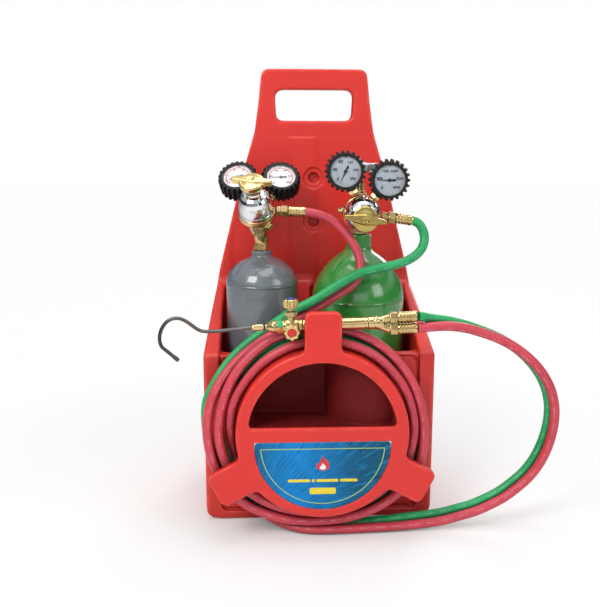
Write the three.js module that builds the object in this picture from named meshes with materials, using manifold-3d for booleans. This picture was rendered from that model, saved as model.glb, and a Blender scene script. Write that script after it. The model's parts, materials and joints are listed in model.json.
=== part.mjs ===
// Portable oxy acetylene welding set: two gas cylinders in a moulded tote carrier, with a hose
// reel on the front and the torch clipped across it.
// Millimetres, +Z up, origin on the floor at the centre of the carrier's base, front towards -Y,
// so +X is on the right seen from the front.
import * as THREE from 'three';
import { mergeVertices } from 'three/addons/utils/BufferGeometryUtils.js';
import Module from 'manifold-3d';

const wasm = await Module();
wasm.setup();
const { degToRad } = THREE.MathUtils;

// ---------------------------------------------------------------- shared dimensions
const GAP = 0.3; // clearance between neighbouring solids
const FRONT_Y = -100; // carrier front
const BACK_Y = 105; // carrier back
const PANEL_RECESS = 4; // front panel, behind the carrier front
const FLOOR_T = 20; // floor under the cylinders
const AC_X = -78.5; // acetylene cylinder axis
const OX_X = 60; // oxygen cylinder axis
const CYL_Y = -5; // both cylinder axes
const AC_NECK_TOP = 365;
const OX_NECK_TOP = 388;

// ---------------------------------------------------------------- welding and booleans
// position-only, indexed copy without collapsed triangles, facing outwards
function weld(source) {
  const bare = source.clone();
  for (const name of Object.keys(bare.attributes)) {
    if (name !== 'position') bare.deleteAttribute(name);
  }
  const welded = mergeVertices(bare, 1e-4);
  const old = welded.index.array;
  const kept = [];
  for (let i = 0; i < old.length; i += 3) {
    const [a, b, c] = [old[i], old[i + 1], old[i + 2]];
    if (a !== b && b !== c && a !== c) kept.push(a, b, c);
  }
  const corner = (i) => new THREE.Vector3().fromBufferAttribute(welded.attributes.position, kept[i]);
  let volume = 0;
  for (let i = 0; i < kept.length; i += 3) {
    volume += corner(i).dot(corner(i + 1).cross(corner(i + 2))) / 6;
  }
  if (volume < 0) {
    for (let i = 0; i < kept.length; i += 3) [kept[i], kept[i + 1]] = [kept[i + 1], kept[i]];
  }
  welded.setIndex(kept);
  return welded;
}

// The booleans and add() take three.js geometry and Manifold solids alike.
function toSolid(piece) {
  if (!piece.isBufferGeometry) return piece;
  const welded = weld(piece);
  return new wasm.Manifold(new wasm.Mesh({
    numProp: 3,
    vertProperties: new Float32Array(welded.attributes.position.array),
    triVerts: new Uint32Array(welded.index.array),
  }));
}

function toGeometry(piece) {
  if (piece.isBufferGeometry) return piece;
  const { numVert, numProp, vertProperties, triVerts } = piece.getMesh();
  const positions = new Float32Array(numVert * 3);
  for (let i = 0; i < numVert; i++) {
    for (let k = 0; k < 3; k++) positions[i * 3 + k] = vertProperties[i * numProp + k];
  }
  const geometry = new THREE.BufferGeometry();
  geometry.setAttribute('position', new THREE.BufferAttribute(positions, 3));
  geometry.setIndex(Array.from(triVerts));
  return geometry;
}

const join = (first, ...rest) => rest.reduce((sum, part) => sum.add(toSolid(part)), toSolid(first));
const cut = (body, ...tools) => tools.reduce((left, t) => left.subtract(toSolid(t)), toSolid(body));
const meet = (first, ...rest) => rest.reduce((s, part) => s.intersect(toSolid(part)), toSolid(first));

// ---------------------------------------------------------------- turned shapes
// turned piece about +Z; profile of [radius, z]
const turned = (profile, segments = 13) =>
  new THREE.LatheGeometry(profile.map(([r, z]) => new THREE.Vector2(r, z)), segments)
    .rotateX(Math.PI / 2);
const rod = (r, z0, z1, segments = 10) => turned([[0, z0], [r, z0], [r, z1], [0, z1]], segments);
const hexBar = (flats, z0, z1) => rod(flats / Math.sqrt(3), z0, z1, 6);

// straight bar between two points
function bar(from, to, radius, segments = 7) {
  const axis = new THREE.Vector3(...to).sub(new THREE.Vector3(...from));
  const geometry = rod(radius, 0, axis.length(), segments);
  const up = new THREE.Vector3(0, 0, 1);
  geometry.applyQuaternion(new THREE.Quaternion().setFromUnitVectors(up, axis.normalize()));
  return geometry.translate(...from);
}

// ---------------------------------------------------------------- outlines and prisms
const polar = (radius, angle) => [radius * Math.cos(angle), radius * Math.sin(angle)];

// closed loop, its radius given for each angle
const loop = (count, radiusAt) => Array.from({ length: count }, (_, i) => {
  const angle = (2 * Math.PI * i) / count;
  return polar(radiusAt(angle), angle);
});
const circle = (radius, count = 48) => loop(count, () => radius);
const lobed = (radius, depth, lobes, count = lobes * 4) =>
  loop(count, (angle) => radius + depth * Math.cos(lobes * angle));

// open arc with both ends, its centre raised by lift
const arc = (radius, start, end, steps, lift = 0) => Array.from({ length: steps + 1 }, (_, i) => {
  const [x, y] = polar(radius, start + ((end - start) * i) / steps);
  return [x, y + lift];
});

// polygon with rounded corners: points are [x, y, radius]
function rounded(points, steps = 4) {
  const out = [];
  const count = points.length;
  points.forEach(([x, y, radius = 0], i) => {
    if (!radius) {
      out.push([x, y]);
      return;
    }
    const [lastX, lastY] = points[(i + count - 1) % count];
    const [nextX, nextY] = points[(i + 1) % count];
    const back = new THREE.Vector2(lastX - x, lastY - y);
    const ahead = new THREE.Vector2(nextX - x, nextY - y);
    const room = [back.length() * 0.49, ahead.length() * 0.49];
    back.normalize();
    ahead.normalize();
    const half = Math.acos(THREE.MathUtils.clamp(back.dot(ahead), -1, 1)) / 2;
    const reach = Math.min(radius / Math.tan(half), ...room);
    // quadratic curve with the corner as its control point
    for (let k = 0; k <= steps; k++) {
      const s = k / steps;
      const toBack = (1 - s) ** 2 * reach;
      const toAhead = s * s * reach;
      out.push([x + back.x * toBack + ahead.x * toAhead, y + back.y * toBack + ahead.y * toAhead]);
    }
  });
  return out;
}

const shapeOf = (points) => new THREE.Shape(points.map(([x, y]) => new THREE.Vector2(x, y)));
// prism of an X-Y outline
const prismZ = (points, z0, z1) =>
  new THREE.ExtrudeGeometry(shapeOf(points), { depth: z1 - z0, bevelEnabled: false, steps: 1 })
    .translate(0, 0, z0);
// prism of an X-Z outline
const prismY = (points, y0, y1) =>
  prismZ(points, 0, y1 - y0).rotateX(Math.PI / 2).translate(0, y1, 0);
// prism of a Y-Z outline
const prismX = (points, x0, x1) => prismZ(points, x0, x1)
  .applyMatrix4(new THREE.Matrix4().set(0, 0, 1, 0, 1, 0, 0, 0, 0, 1, 0, 0, 0, 0, 0, 1));

function tube(points, radius, steps, segments) {
  const stations = points.map((point) => new THREE.Vector3(...point));
  const extrudePath = new THREE.CatmullRomCurve3(stations, false, 'centripetal');
  extrudePath.arcLengthDivisions = steps * 12;
  const section = shapeOf(circle(radius, segments));
  return new THREE.ExtrudeGeometry(section, { steps, extrudePath, bevelEnabled: false });
}

// ---------------------------------------------------------------- places
// point at a distance from start in a direction
const along = (start, direction, distance) => new THREE.Vector3(...direction).normalize()
  .multiplyScalar(distance).add(new THREE.Vector3(...start)).toArray();

// point on the line from start to end, stopping short of the end
function shortOf(start, end, gap) {
  const line = new THREE.Vector3(...end).sub(new THREE.Vector3(...start));
  return along(start, line.toArray(), line.length() - gap);
}

const root = new THREE.Group();

function add(parent, name, piece, material, position = [0, 0, 0], rotation = [0, 0, 0]) {
  const geometry = weld(toGeometry(piece));
  geometry.computeVertexNormals();
  const mesh = new THREE.Mesh(geometry, material);
  mesh.name = name;
  mesh.position.set(...position);
  mesh.rotation.set(...rotation);
  parent.add(mesh);
}

function addGroup(parent, position, rotation = [0, 0, 0]) {
  const group = new THREE.Group();
  group.position.set(...position);
  group.rotation.set(...rotation);
  parent.add(group);
  return group;
}

// group whose local +Z looks along direction, turned by rollDeg about it
function aimed(origin, direction, rollDeg = 0) {
  const zAxis = new THREE.Vector3(...direction).normalize();
  const xAxis = new THREE.Vector3(0, 0, 1).cross(zAxis).normalize();
  const yAxis = zAxis.clone().cross(xAxis);
  const group = addGroup(root, origin);
  const basis = new THREE.Matrix4().makeBasis(xAxis, yAxis, zAxis);
  group.quaternion.setFromRotationMatrix(basis);
  group.rotateZ(degToRad(rollDeg));
  group.updateMatrixWorld(true);
  return group;
}
const localOf = (group, point) => group.worldToLocal(new THREE.Vector3(...point)).toArray();

// ---------------------------------------------------------------- materials
const standard = (settings) => new THREE.MeshStandardMaterial(settings);
const MATERIALS = {
  carrier: standard({ color: 0xd93a2f, roughness: 0.42 }),
  label: standard({ color: 0x1560ad, roughness: 0.3 }),
  grey: standard({ color: 0x5f6a72, roughness: 0.3 }),
  green: standard({ color: 0x2c8a35, roughness: 0.25 }),
  filler: standard({ color: 0xb9b2a4, roughness: 0.95 }),
  brass: standard({ color: 0xc9a24a, roughness: 0.22, metalness: 1 }),
  chrome: standard({ color: 0xdadde0, roughness: 0.07, metalness: 1 }),
  steel: standard({ color: 0x9a9da1, roughness: 0.3, metalness: 1 }),
  rubber: standard({ color: 0x17181a, roughness: 0.75 }),
  dialRed: standard({ color: 0xf4f1f2, roughness: 0.5 }),
  dialBlue: standard({ color: 0xc9d5dd, roughness: 0.5 }),
  needle: standard({ color: 0x101010, roughness: 0.5 }),
  lens: standard({ color: 0xe8eef2, roughness: 0.05, transparent: true, opacity: 0.3 }),
  hoseRed: standard({ color: 0xb83a4b, roughness: 0.5 }),
  hoseGreen: standard({ color: 0x1ea35e, roughness: 0.45 }),
  tip: standard({ color: 0x5c5f63, roughness: 0.35, metalness: 1 }),
  knob: standard({ color: 0xcfb064, roughness: 0.25, metalness: 1 }),
  wheel: standard({ color: 0xb9bcbe, roughness: 0.3, metalness: 1 }),
  diaphragm: standard({ color: 0x222326, roughness: 0.8 }),
};

// ---------------------------------------------------------------- carrier
const HALF_FRONT = 157.5; // half width at the front
const HALF_BACK = 147.5; // half width at the back
const WALL_TOP_FRONT = 233.5;
const WALL_TOP_BACK = 307;
const BACK_PANEL_Y = 75; // front face of the back panel
const TOTAL_H = 622; // to the top of the handle
const BAY_FRONT_Y = -76;
const BAY_CUT_TOP = 320;
const DIVIDER_LEFT = -26.5;
const DIVIDER_RIGHT = -7;
const DIVIDER_FRONT_Y = -60; // the divider stands above the front panel from here back
const PANEL_HALF = 135.5; // front panel half width, also the outer sides of the bays
const PANEL_TOP = 234;
const PANEL_CUT_TOP = 330;
const DIMPLE_X = -0.8;
const DIMPLE_ZS = [463.3, 397.1];
const DIMPLE_DEPTH = 9;
const OVERCUT = 10; // how far tools run past the body

// the side, front and plan outlines intersect to give the outer body
function carrierBody() {
  // [Y, Z, corner radius]
  const side = [
    [FRONT_Y, 0, 9], [BACK_Y, 0, 9], [BACK_Y, TOTAL_H, 9], [BACK_PANEL_Y, TOTAL_H, 9],
    [BACK_PANEL_Y, WALL_TOP_BACK, 14], [FRONT_Y, WALL_TOP_FRONT, 8],
  ];
  // right half of the front outline: [X, Z, corner radius]
  const half = [
    [0, 0], [HALF_FRONT, 0, 18], [HALF_FRONT, 236], [HALF_BACK + 0.8, WALL_TOP_BACK, 20],
    [116, 436, 60], [100.5, 492, 20], [88.5, 532, 30], [82.5, 575, 40],
    [77.5, TOTAL_H, 11], [0, TOTAL_H],
  ];
  const front = [...half, ...half.slice(1, -1).reverse().map(([x, z, r]) => [-x, z, r])];
  // [X, Y, corner radius]
  const plan = [
    [-HALF_FRONT, FRONT_Y, 9], [HALF_FRONT, FRONT_Y, 9],
    [HALF_BACK, BACK_Y, 14], [-HALF_BACK, BACK_Y, 14],
  ];
  return meet(
    prismX(rounded(side), -HALF_FRONT - OVERCUT, HALF_FRONT + OVERCUT),
    prismY(rounded(front), FRONT_Y - OVERCUT, BACK_Y + OVERCUT),
    prismZ(rounded(plan), -OVERCUT, TOTAL_H + OVERCUT),
  );
}

function bayTool(x0, x1) {
  const plan = [
    [x0, BAY_FRONT_Y, 20], [x1, BAY_FRONT_Y, 20], [x1, BACK_PANEL_Y, 20], [x0, BACK_PANEL_Y, 20],
  ];
  return prismZ(rounded(plan), FLOOR_T, BAY_CUT_TOP);
}

function buildCarrier() {
  const abovePanel = [
    [-PANEL_HALF, PANEL_TOP], [PANEL_HALF, PANEL_TOP],
    [PANEL_HALF, PANEL_CUT_TOP], [-PANEL_HALF, PANEL_CUT_TOP],
  ];
  const panelFace = [
    [-PANEL_HALF, 12, 8], [PANEL_HALF, 12, 8], [PANEL_HALF, 262, 8], [-PANEL_HALF, 262, 8],
  ];
  const handSlot = [[-55, 548.5, 7], [55, 548.5, 7], [57, 592, 9], [-57, 592, 9]];
  // blind tapered dimples in the front face of the back panel
  const dimpleProfile = [
    [0, 0], [7.5, 0], [15.8, DIMPLE_DEPTH], [15.8, DIMPLE_DEPTH + 3], [0, DIMPLE_DEPTH + 3],
  ];
  const dimples = DIMPLE_ZS.map((z) => turned(dimpleProfile, 10)
    .rotateX(Math.PI / 2).translate(DIMPLE_X, BACK_PANEL_Y + DIMPLE_DEPTH, z));
  const shell = cut(
    carrierBody(),
    bayTool(-PANEL_HALF, DIVIDER_LEFT),
    bayTool(DIVIDER_RIGHT, PANEL_HALF),
    prismY(abovePanel, FRONT_Y - OVERCUT, DIVIDER_FRONT_Y),
    prismY(rounded(panelFace, 3), FRONT_Y - OVERCUT, FRONT_Y + PANEL_RECESS),
    prismY(rounded(handSlot), BACK_PANEL_Y - OVERCUT, BACK_Y + OVERCUT),
    ...dimples,
  );
  add(root, 'carrier_shell', shell, MATERIALS.carrier);
}

// ---------------------------------------------------------------- hose reel hub
// heights below are measured from the hub axis unless noted
const HUB_Z = 147; // hub axis above the floor
const HUB_FRONT = -175;
const HUB_BACK = FRONT_Y + PANEL_RECESS - GAP;
const HUB_R = 111.7; // flange
const HUB_T = 12; // flange thickness
const DRUM_R = 107;
const CROWN_R = 112.2; // upper part of the drum
const CROWN_FROM = -45; // height where the crown starts
const LUG_W = 47;
const LUG_ROOT_R = 80;
const LUGS = [[90, 164], [208.5, 153.4], [331.5, 153.4]]; // [degrees from +X, tip radius]
const BIN_R = 95;
const BIN_FLOOR = 158.5 - HUB_Z;
const BIN_DEPTH = 70;
const BULGE_X = 64;
const BULGE_R = 57;
const HOLLOW_R = 103;
const HOLLOW_LIFT = 2; // centre of the hollow above the hub axis
const HOLLOW_SKIN = 6;
const LABEL_R = 88.1;
const LABEL_TOP = 3.8; // above the label's centre
const LABEL_DROP = 11.6; // label centre below the hub axis
const LABEL_FIT = 0.4; // seat larger than the label

function lug([degrees, tipRadius]) {
  const turn = degToRad(degrees - 90);
  const upright = [
    [-LUG_W / 2, LUG_ROOT_R], [LUG_W / 2, LUG_ROOT_R],
    [LUG_W / 2, tipRadius, 8], [-LUG_W / 2, tipRadius, 8],
  ];
  const outline = rounded(upright).map(([x, z]) =>
    [x * Math.cos(turn) - z * Math.sin(turn), x * Math.sin(turn) + z * Math.cos(turn)]);
  return prismY(outline, HUB_FRONT, HUB_FRONT + HUB_T);
}

// half-moon outline of the tool bin
function binOutline() {
  const start = Math.asin((BIN_FLOOR + 9) / BIN_R);
  const halfFloor = Math.sqrt(BIN_R ** 2 - BIN_FLOOR ** 2);
  return [
    ...arc(BIN_R, start, Math.PI - start, 24),
    [-halfFloor + 2.5, BIN_FLOOR + 2.8], [-halfFloor + 9, BIN_FLOOR],
    [halfFloor - 9, BIN_FLOOR], [halfFloor - 2.5, BIN_FLOOR + 2.8],
  ];
}

// disc with its upper part cut off level
function labelOutline(extra) {
  const radius = LABEL_R + extra;
  const rise = Math.asin((LABEL_TOP + extra) / radius);
  return arc(radius, Math.PI - rise, 2 * Math.PI + rise, 30, -LABEL_DROP);
}

function buildHub() {
  const group = addGroup(root, [0, 0, HUB_Z]);
  const crownStart = Math.asin(CROWN_FROM / CROWN_R);
  const disc = join(
    prismY(circle(HUB_R), HUB_FRONT, HUB_FRONT + HUB_T),
    prismY(circle(DRUM_R), HUB_FRONT + 1, HUB_BACK),
    prismY(arc(CROWN_R, crownStart, Math.PI - crownStart, 36), HUB_FRONT + 1, HUB_BACK),
    ...LUGS.map(lug),
  );
  const moon = binOutline();
  const binBack = HUB_FRONT + BIN_DEPTH;
  const withBin = cut(disc, prismY(moon, HUB_FRONT - 2, binBack));
  // the wall of the wider cylinder bay bulges into the right of the bin
  const bulge = meet(
    prismZ(circle(BULGE_R, 32).map(([x, y]) => [x + BULGE_X, y + binBack]), BIN_FLOOR - 1, 100),
    prismY(moon, HUB_FRONT + 2, binBack + 2),
  );
  // the lower half is hollow and open at the back
  const hollow = arc(HOLLOW_R, Math.PI, 2 * Math.PI, 24, HOLLOW_LIFT);
  const hub = cut(
    join(withBin, bulge),
    prismY(hollow, HUB_FRONT + HOLLOW_SKIN, HUB_BACK + 1),
    prismY(labelOutline(LABEL_FIT), HUB_FRONT - 1, HUB_FRONT + 1),
  );
  add(group, 'hose_hub', hub, MATERIALS.carrier);
  const label = prismY(labelOutline(0), HUB_FRONT + 0.1, HUB_FRONT + 0.7);
  add(group, 'label_plate', label, MATERIALS.label);
}

// ---------------------------------------------------------------- cylinders
const CYL_BOTTOM = FLOOR_T + GAP;

function buildAcetyleneCylinder() {
  const group = addGroup(root, [AC_X, CYL_Y, 0]);
  const outer = 51;
  const shell = [
    [0, CYL_BOTTOM + 5], [38, CYL_BOTTOM + 3], [41, CYL_BOTTOM], [47, CYL_BOTTOM],
    [outer, CYL_BOTTOM + 6], [outer, 318], [outer - 2.5, 329], [outer - 9, 340],
    [outer - 20, 349.5], [14.3, 357.5], [14.3, AC_NECK_TOP], [9, AC_NECK_TOP], [9, 352.5],
    [outer - 21, 346.5], [outer - 10, 337.5], [outer - 2.5, 318],
    [outer - 2.5, CYL_BOTTOM + 8.5], [0, CYL_BOTTOM + 8.5],
  ];
  const mass = [
    [0, CYL_BOTTOM + 9.3], [outer - 3.4, CYL_BOTTOM + 9.3], [outer - 3.4, 316],
    [outer - 12, 335], [outer - 23, 344], [0, 347.5],
  ];
  add(group, 'acetylene_cylinder', turned(shell, 25), MATERIALS.grey);
  add(group, 'acetylene_porous_mass', turned(mass), MATERIALS.filler);
}

function buildOxygenCylinder() {
  const group = addGroup(root, [OX_X, CYL_Y, 0]);
  const outer = 66;
  const wall = 4;
  const shell = [
    [0, CYL_BOTTOM + 8], [44, CYL_BOTTOM], [56, CYL_BOTTOM], [outer, CYL_BOTTOM + 10],
    [outer, 296], [outer - 2.2, 312], [outer - 8, 328], [outer - 17.5, 343],
    [outer - 30, 356.5], [18.1, 369], [18.1, OX_NECK_TOP], [9.3, OX_NECK_TOP], [9.3, 362],
    [outer - 32, 351.5], [outer - 14, 328], [outer - wall, 296],
    [outer - wall, CYL_BOTTOM + 13], [0, CYL_BOTTOM + 14],
  ];
  add(group, 'oxygen_cylinder', turned(shell, 25), MATERIALS.green);
}

// ---------------------------------------------------------------- cylinder valves
// centre of each valve and the direction its outlet faces
const AC_VALVE = [AC_X, CYL_Y, 383];
const AC_DIR = [-0.119, -0.584, 0.803];
const OX_VALVE = [OX_X, CYL_Y, 423.2];
const OX_DIR = [-0.02, -0.9985, -0.05];
const REG_REACH = 50; // valve centre to the regulator's body joint
const INLET_REACH = 27; // body joint back to the end of the valve outlet
const OUTLET_R = 10;
const BORE_R = 3;

const valveOutlet = (valve, direction) =>
  bar(valve, along(valve, direction, REG_REACH - INLET_REACH), OUTLET_R, 10);
const valveBore = (valve, direction) =>
  bar(along(valve, direction, 4), along(valve, direction, REG_REACH), BORE_R);

function buildAcetyleneValve() {
  const spindleDir = [0.05, 0.766, 0.643];
  const spindleStart = 17;
  const onAxis = (geometry) => geometry.translate(AC_X, CYL_Y, 0);
  const body = join(
    onAxis(rod(8.6, AC_NECK_TOP - 12, AC_NECK_TOP + 1)),
    onAxis(hexBar(20, AC_NECK_TOP + GAP, AC_NECK_TOP + 8)),
    onAxis(rod(9.2, AC_NECK_TOP + 7, 384)),
    new THREE.SphereGeometry(10.2, 12, 8).translate(...AC_VALVE),
    valveOutlet(AC_VALVE, AC_DIR),
    bar(AC_VALVE, along(AC_VALVE, spindleDir, spindleStart), 7.6, 8),
  );
  const bored = cut(body, valveBore(AC_VALVE, AC_DIR));
  add(root, 'acetylene_valve_body', bored, MATERIALS.brass);

  const group = aimed(along(AC_VALVE, spindleDir, spindleStart + GAP), spindleDir);
  const squareEnd = [[0, 7.9], [4.6, 7.9], [4.6, 17], [3.8, 18], [0, 18]];
  const spindle = join(hexBar(13, 0, 5), rod(3.6, 4.9, 8, 7), turned(squareEnd, 4));
  add(group, 'acetylene_valve_spindle', spindle, MATERIALS.brass);
}

function buildOxygenValve() {
  const [x, y, z] = OX_VALVE;
  const stemTop = 471.5;
  const profile = [
    [0, OX_NECK_TOP + GAP], [12.8, OX_NECK_TOP + GAP], [12.8, 397], [11.6, 400],
    [12.2, 406], [12.2, 436], [10, 439], [10, 447], [7.4, 448], [7.4, 460],
    [4.2, 461], [4.2, stemTop], [0, stemTop],
  ];
  const body = join(
    rod(8.9, OX_NECK_TOP - 14, OX_NECK_TOP + 1).translate(x, y, 0),
    turned(profile, 10).translate(x, y, 0),
    valveOutlet(OX_VALVE, OX_DIR),
    bar([x, y, z], [x, y + 18, z], 7),
  );
  add(root, 'oxygen_valve_body', cut(body, valveBore(OX_VALVE, OX_DIR)), MATERIALS.brass);

  // handwheel: rim with six finger scallops, web with five holes, hub
  const holes = Array.from({ length: 5 }, (_, i) => {
    const [holeX, holeY] = polar(12.5, (2 * Math.PI * i) / 5 + 0.3);
    return rod(3.6, 470, 495, 7).translate(holeX, holeY, 0);
  });
  const web = cut(
    prismZ(lobed(24.2, 1.6, 6, 36), 476, 488),
    rod(18.5, 475, 479, 12),
    rod(18.5, 483, 489, 12),
    ...holes,
  );
  const wheel = join(web, rod(6.4, stemTop + GAP, 490, 8));
  add(root, 'oxygen_valve_handwheel', wheel, MATERIALS.wheel, [x, y, 0]);
}

// ---------------------------------------------------------------- gauges
const GAUGE_STEM_Z = -12; // stem axis behind the dial face
const GAUGE_STEM_END = 34; // from the dial centre
const GAUGE_TEETH = 22;
// [x, y] with the pointer along +X
const NEEDLE = [
  [-7.5, -1.5], [-2.6, -1.3], [-1.8, -2.4], [1.8, -2.4], [2.6, -1.1], [17.5, -0.25],
  [17.5, 0.25], [2.6, 1.1], [1.8, 2.4], [-1.8, 2.4], [-2.6, 1.3], [-7.5, 1.5],
];

// Local +Z is the dial normal; the stem leaves towards the world point target.
// Returns the world point where the stem meets its regulator.
function buildGauge({ prefix, centre, normal, target, needleDeg, dial }) {
  const group = aimed(centre, normal);
  const [targetX, targetY] = localOf(group, target);
  const stemDir = [targetX, targetY, 0];
  const onStem = (distance) => along([0, 0, GAUGE_STEM_Z], stemDir, distance);
  const caseProfile = [
    [0, -22], [21.5, -22], [22.8, -20.5], [22.8, 2.4], [21.6, 2.4], [21.6, -19], [0, -19],
  ];
  const gaugeCase = join(
    turned(caseProfile, 16),
    bar(onStem(21.8), onStem(GAUGE_STEM_END), 4.6),
    bar(onStem(27.5), onStem(GAUGE_STEM_END - 1.5), 6.6, 6),
  );
  add(group, `${prefix}_gauge_case`, gaugeCase, MATERIALS.brass);

  const teeth = [];
  for (let i = 0; i < GAUGE_TEETH; i++) {
    for (const [offset, radius] of [[-0.25, 28.4], [0.25, 26.2]]) {
      teeth.push(polar(radius, (2 * Math.PI * (i + offset)) / GAUGE_TEETH));
    }
  }
  const boot = cut(
    prismZ(teeth, -21.5, 3.6),
    rod(23.1, -23, 2.75, 16),
    rod(20.6, 2, 6, 16),
    bar(onStem(15), onStem(40), 7.3),
  );
  add(group, `${prefix}_gauge_boot`, boot, MATERIALS.rubber);
  add(group, `${prefix}_gauge_dial`, rod(21.2, -1, 0, 16), dial);
  add(group, `${prefix}_gauge_lens`, rod(20.4, 2, 3.3, 16), MATERIALS.lens);
  const needleTurn = [0, 0, degToRad(needleDeg)];
  const needle = prismZ(NEEDLE, 0.35, 1.15);
  add(group, `${prefix}_gauge_needle`, needle, MATERIALS.needle, [0, 0, 0], needleTurn);
  const port = new THREE.Vector3(...onStem(GAUGE_STEM_END + GAP));
  return group.localToWorld(port).toArray();
}

// ---------------------------------------------------------------- regulators
const REG_HUB = 9; // where the side branches meet, behind the body joint
const FERRULE_LENGTH = 24.5;
const REG_BODY = [
  [0, -18], [15, -18], [17.5, -13], [24, -8.5], [25.6, -6.5], [25.6, -0.15], [0, -0.15],
];
const REG_BONNET = [
  [21.9, 0.15], [24.8, 0.15], [24.8, 4], [23.2, 15], [20.6, 24], [17, 29.2], [9.4, 32.2],
  [9.4, 34], [5.8, 34], [5.8, 28.8], [15, 28.2], [19.6, 14], [20.4, 1.5], [21.9, 1.5],
  [21.9, 0.15],
];
const SPRING = { radius: 9.5, wireR: 1.15, start: 2.6, height: 13.2, coils: 5, stations: 40 };
const BUTTON_TOP = 27.4;
// T-knob outline: [x, y, corner radius]
const KNOB_WING = [
  [-28.4, -2.6, 2], [-16, -4.4, 6], [0, -6.4, 12], [16, -4.4, 6], [28.4, -2.6, 2],
  [28.4, 2.6, 2], [16, 4.4, 6], [0, 6.4, 12], [-16, 4.4, 6], [-28.4, 2.6, 2],
];

function regulatorBody(toLocal, { ports, outletStart, reliefEnd }) {
  const centre = [0, 0, -REG_HUB];
  const inletEnd = -INLET_REACH + GAP;
  const portBranches = ports.map(toLocal).flatMap((port) => [
    bar(centre, shortOf(centre, port, 2.5), 6.2),
    bar(shortOf(centre, port, 8), shortOf(centre, port, 1.6), 7.6, 6),
  ]);
  const body = join(
    turned(REG_BODY, 16),
    rod(6.5, inletEnd, -17, 8),
    rod(9.5, inletEnd, inletEnd + 3, 8),
    ...portBranches,
    bar(centre, shortOf(centre, toLocal(outletStart), 4), 6.4, 8),
    bar(centre, toLocal(reliefEnd), 4.6),
  );
  // trim at the joint, then hollow the chamber and the inlet
  return cut(body, rod(27.5, -0.15, 30, 16), rod(19, -5, 1, 13), rod(2.6, -30, -4, 7));
}

function adjustingSpring() {
  const { radius, wireR, start, height, coils, stations } = SPRING;
  const path = [];
  for (let i = 0; i <= stations; i++) {
    const share = i / stations;
    path.push([...polar(radius, share * coils * 2 * Math.PI), start + height * share]);
  }
  return tube(path, wireR, 32, 4);
}

// Local +Z is the bonnet axis pointing outwards, z = 0 the joint between body and bonnet.
// Returns the outlet's group and where the hose ferrule starts along it.
function buildRegulator({ prefix, valve, direction, rollDeg, knobDeg = 0, ...fittings }) {
  const group = aimed(along(valve, direction, REG_REACH), direction, rollDeg);
  const body = regulatorBody((point) => localOf(group, point), fittings);
  add(group, `${prefix}_regulator_body`, body, MATERIALS.brass);
  add(group, `${prefix}_diaphragm`, rod(21.4, 0.15, 1.1, 13), MATERIALS.diaphragm);
  add(group, `${prefix}_regulator_bonnet`, turned(REG_BONNET, 16), MATERIALS.chrome);
  const button = [[0, 23], [11.5, 23], [11.5, 25.4], [6, BUTTON_TOP], [0, BUTTON_TOP]];
  add(group, `${prefix}_spring_button`, turned(button, 10), MATERIALS.steel);
  add(group, `${prefix}_adjusting_spring`, adjustingSpring(), MATERIALS.steel);
  const knobHead = [
    [0, 41], [11, 41], [13.5, 43.5], [16, 48.5], [17.2, 52.2], [15.5, 54.6], [0, 55.4],
  ];
  const knob = join(
    rod(5, BUTTON_TOP + GAP, 43, 7),
    turned(knobHead),
    prismZ(rounded(KNOB_WING, 1), 47.5, 57.5),
  );
  const knobTurn = [0, 0, degToRad(knobDeg)];
  add(group, `${prefix}_adjusting_knob`, knob, MATERIALS.knob, [0, 0, 0], knobTurn);
  const nut = cut(hexBar(26, -36, -20.4), rod(10.4, -37, -23.4), rod(6.9, -24, -20, 8));
  add(group, `${prefix}_inlet_nut`, nut, MATERIALS.brass);

  const outletLine = new THREE.Vector3(...fittings.outletEnd)
    .sub(new THREE.Vector3(...fittings.outletStart));
  const outlet = aimed(fittings.outletStart, outletLine.toArray());
  const ferruleStart = outletLine.length() - FERRULE_LENGTH;
  const fitting = join(
    hexBar(12, GAP, 6),
    rod(4.6, 5.9, ferruleStart - 9, 7),
    hexBar(15.5, ferruleStart - 9.5, ferruleStart - GAP),
  );
  add(outlet, `${prefix}_outlet_fitting`, fitting, MATERIALS.brass);
  return { outlet, ferruleStart };
}

// ---------------------------------------------------------------- hoses
const HOSE_R = 6.3;
const HOSE_PITCH = 13.2; // the oxygen hose lies this far behind the fuel hose on the reel

// Stations are [x, y, z]. Both hoses share two stretches round the reel, given for the fuel hose.
const FIRST_LAP = [
  [-142.5, -150, 103.4], [-124.7, -150, 69.1], [-97.2, -150, 42.8], [-63.6, -150, 27.4],
  [-31.6, -150, 20.4], [0, -150, 19.4], [33.3, -150, 22.9], [65.8, -150, 33.1],
  [95.5, -150, 51.5], [119.9, -150, 77.7], [132.2, -150, 104], [135.3, -149, 139.9],
  [131.5, -147, 172.6], [115.9, -144, 213.9],
];
const SECOND_LAP = [
  [-124.8, -149, 197.4], [-135, -150, 147], [-128, -150, 107.9], [-111.1, -150, 77.6],
  [-80.3, -150, 51.2], [-40.5, -150, 35.6], [0, -150, 32.5], [39.3, -150, 38.9],
  [75.2, -150, 57.4], [103.9, -150, 87], [117.2, -150, 115.6], [121.8, -150, 147],
  [116.7, -150, 178.3], [104.3, -150, 207.2], [69.1, -150, 245.6], [20.7, -150, 264.5],
  [-30.9, -150, 262.2], [-76.7, -150, 238.4], [-111.6, -149.5, 192.1], [-119, -146.5, 163.7],
  [-119.8, -138.5, 136.5], [-117.1, -128, 111.2], [-113.2, -124, 89.3], [-107, -124, 66.4],
  [-96.5, -124, 43.5], [-82.2, -124.5, 25.1], [-64.8, -130, 14.2], [-44.9, -139, 8.9],
  [-24.8, -146.5, 6.6], [-4.9, -150, 6.2],
];
const behind = (stations) => stations.map(([x, y, z]) => [x, y + HOSE_PITCH, z]);

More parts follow.
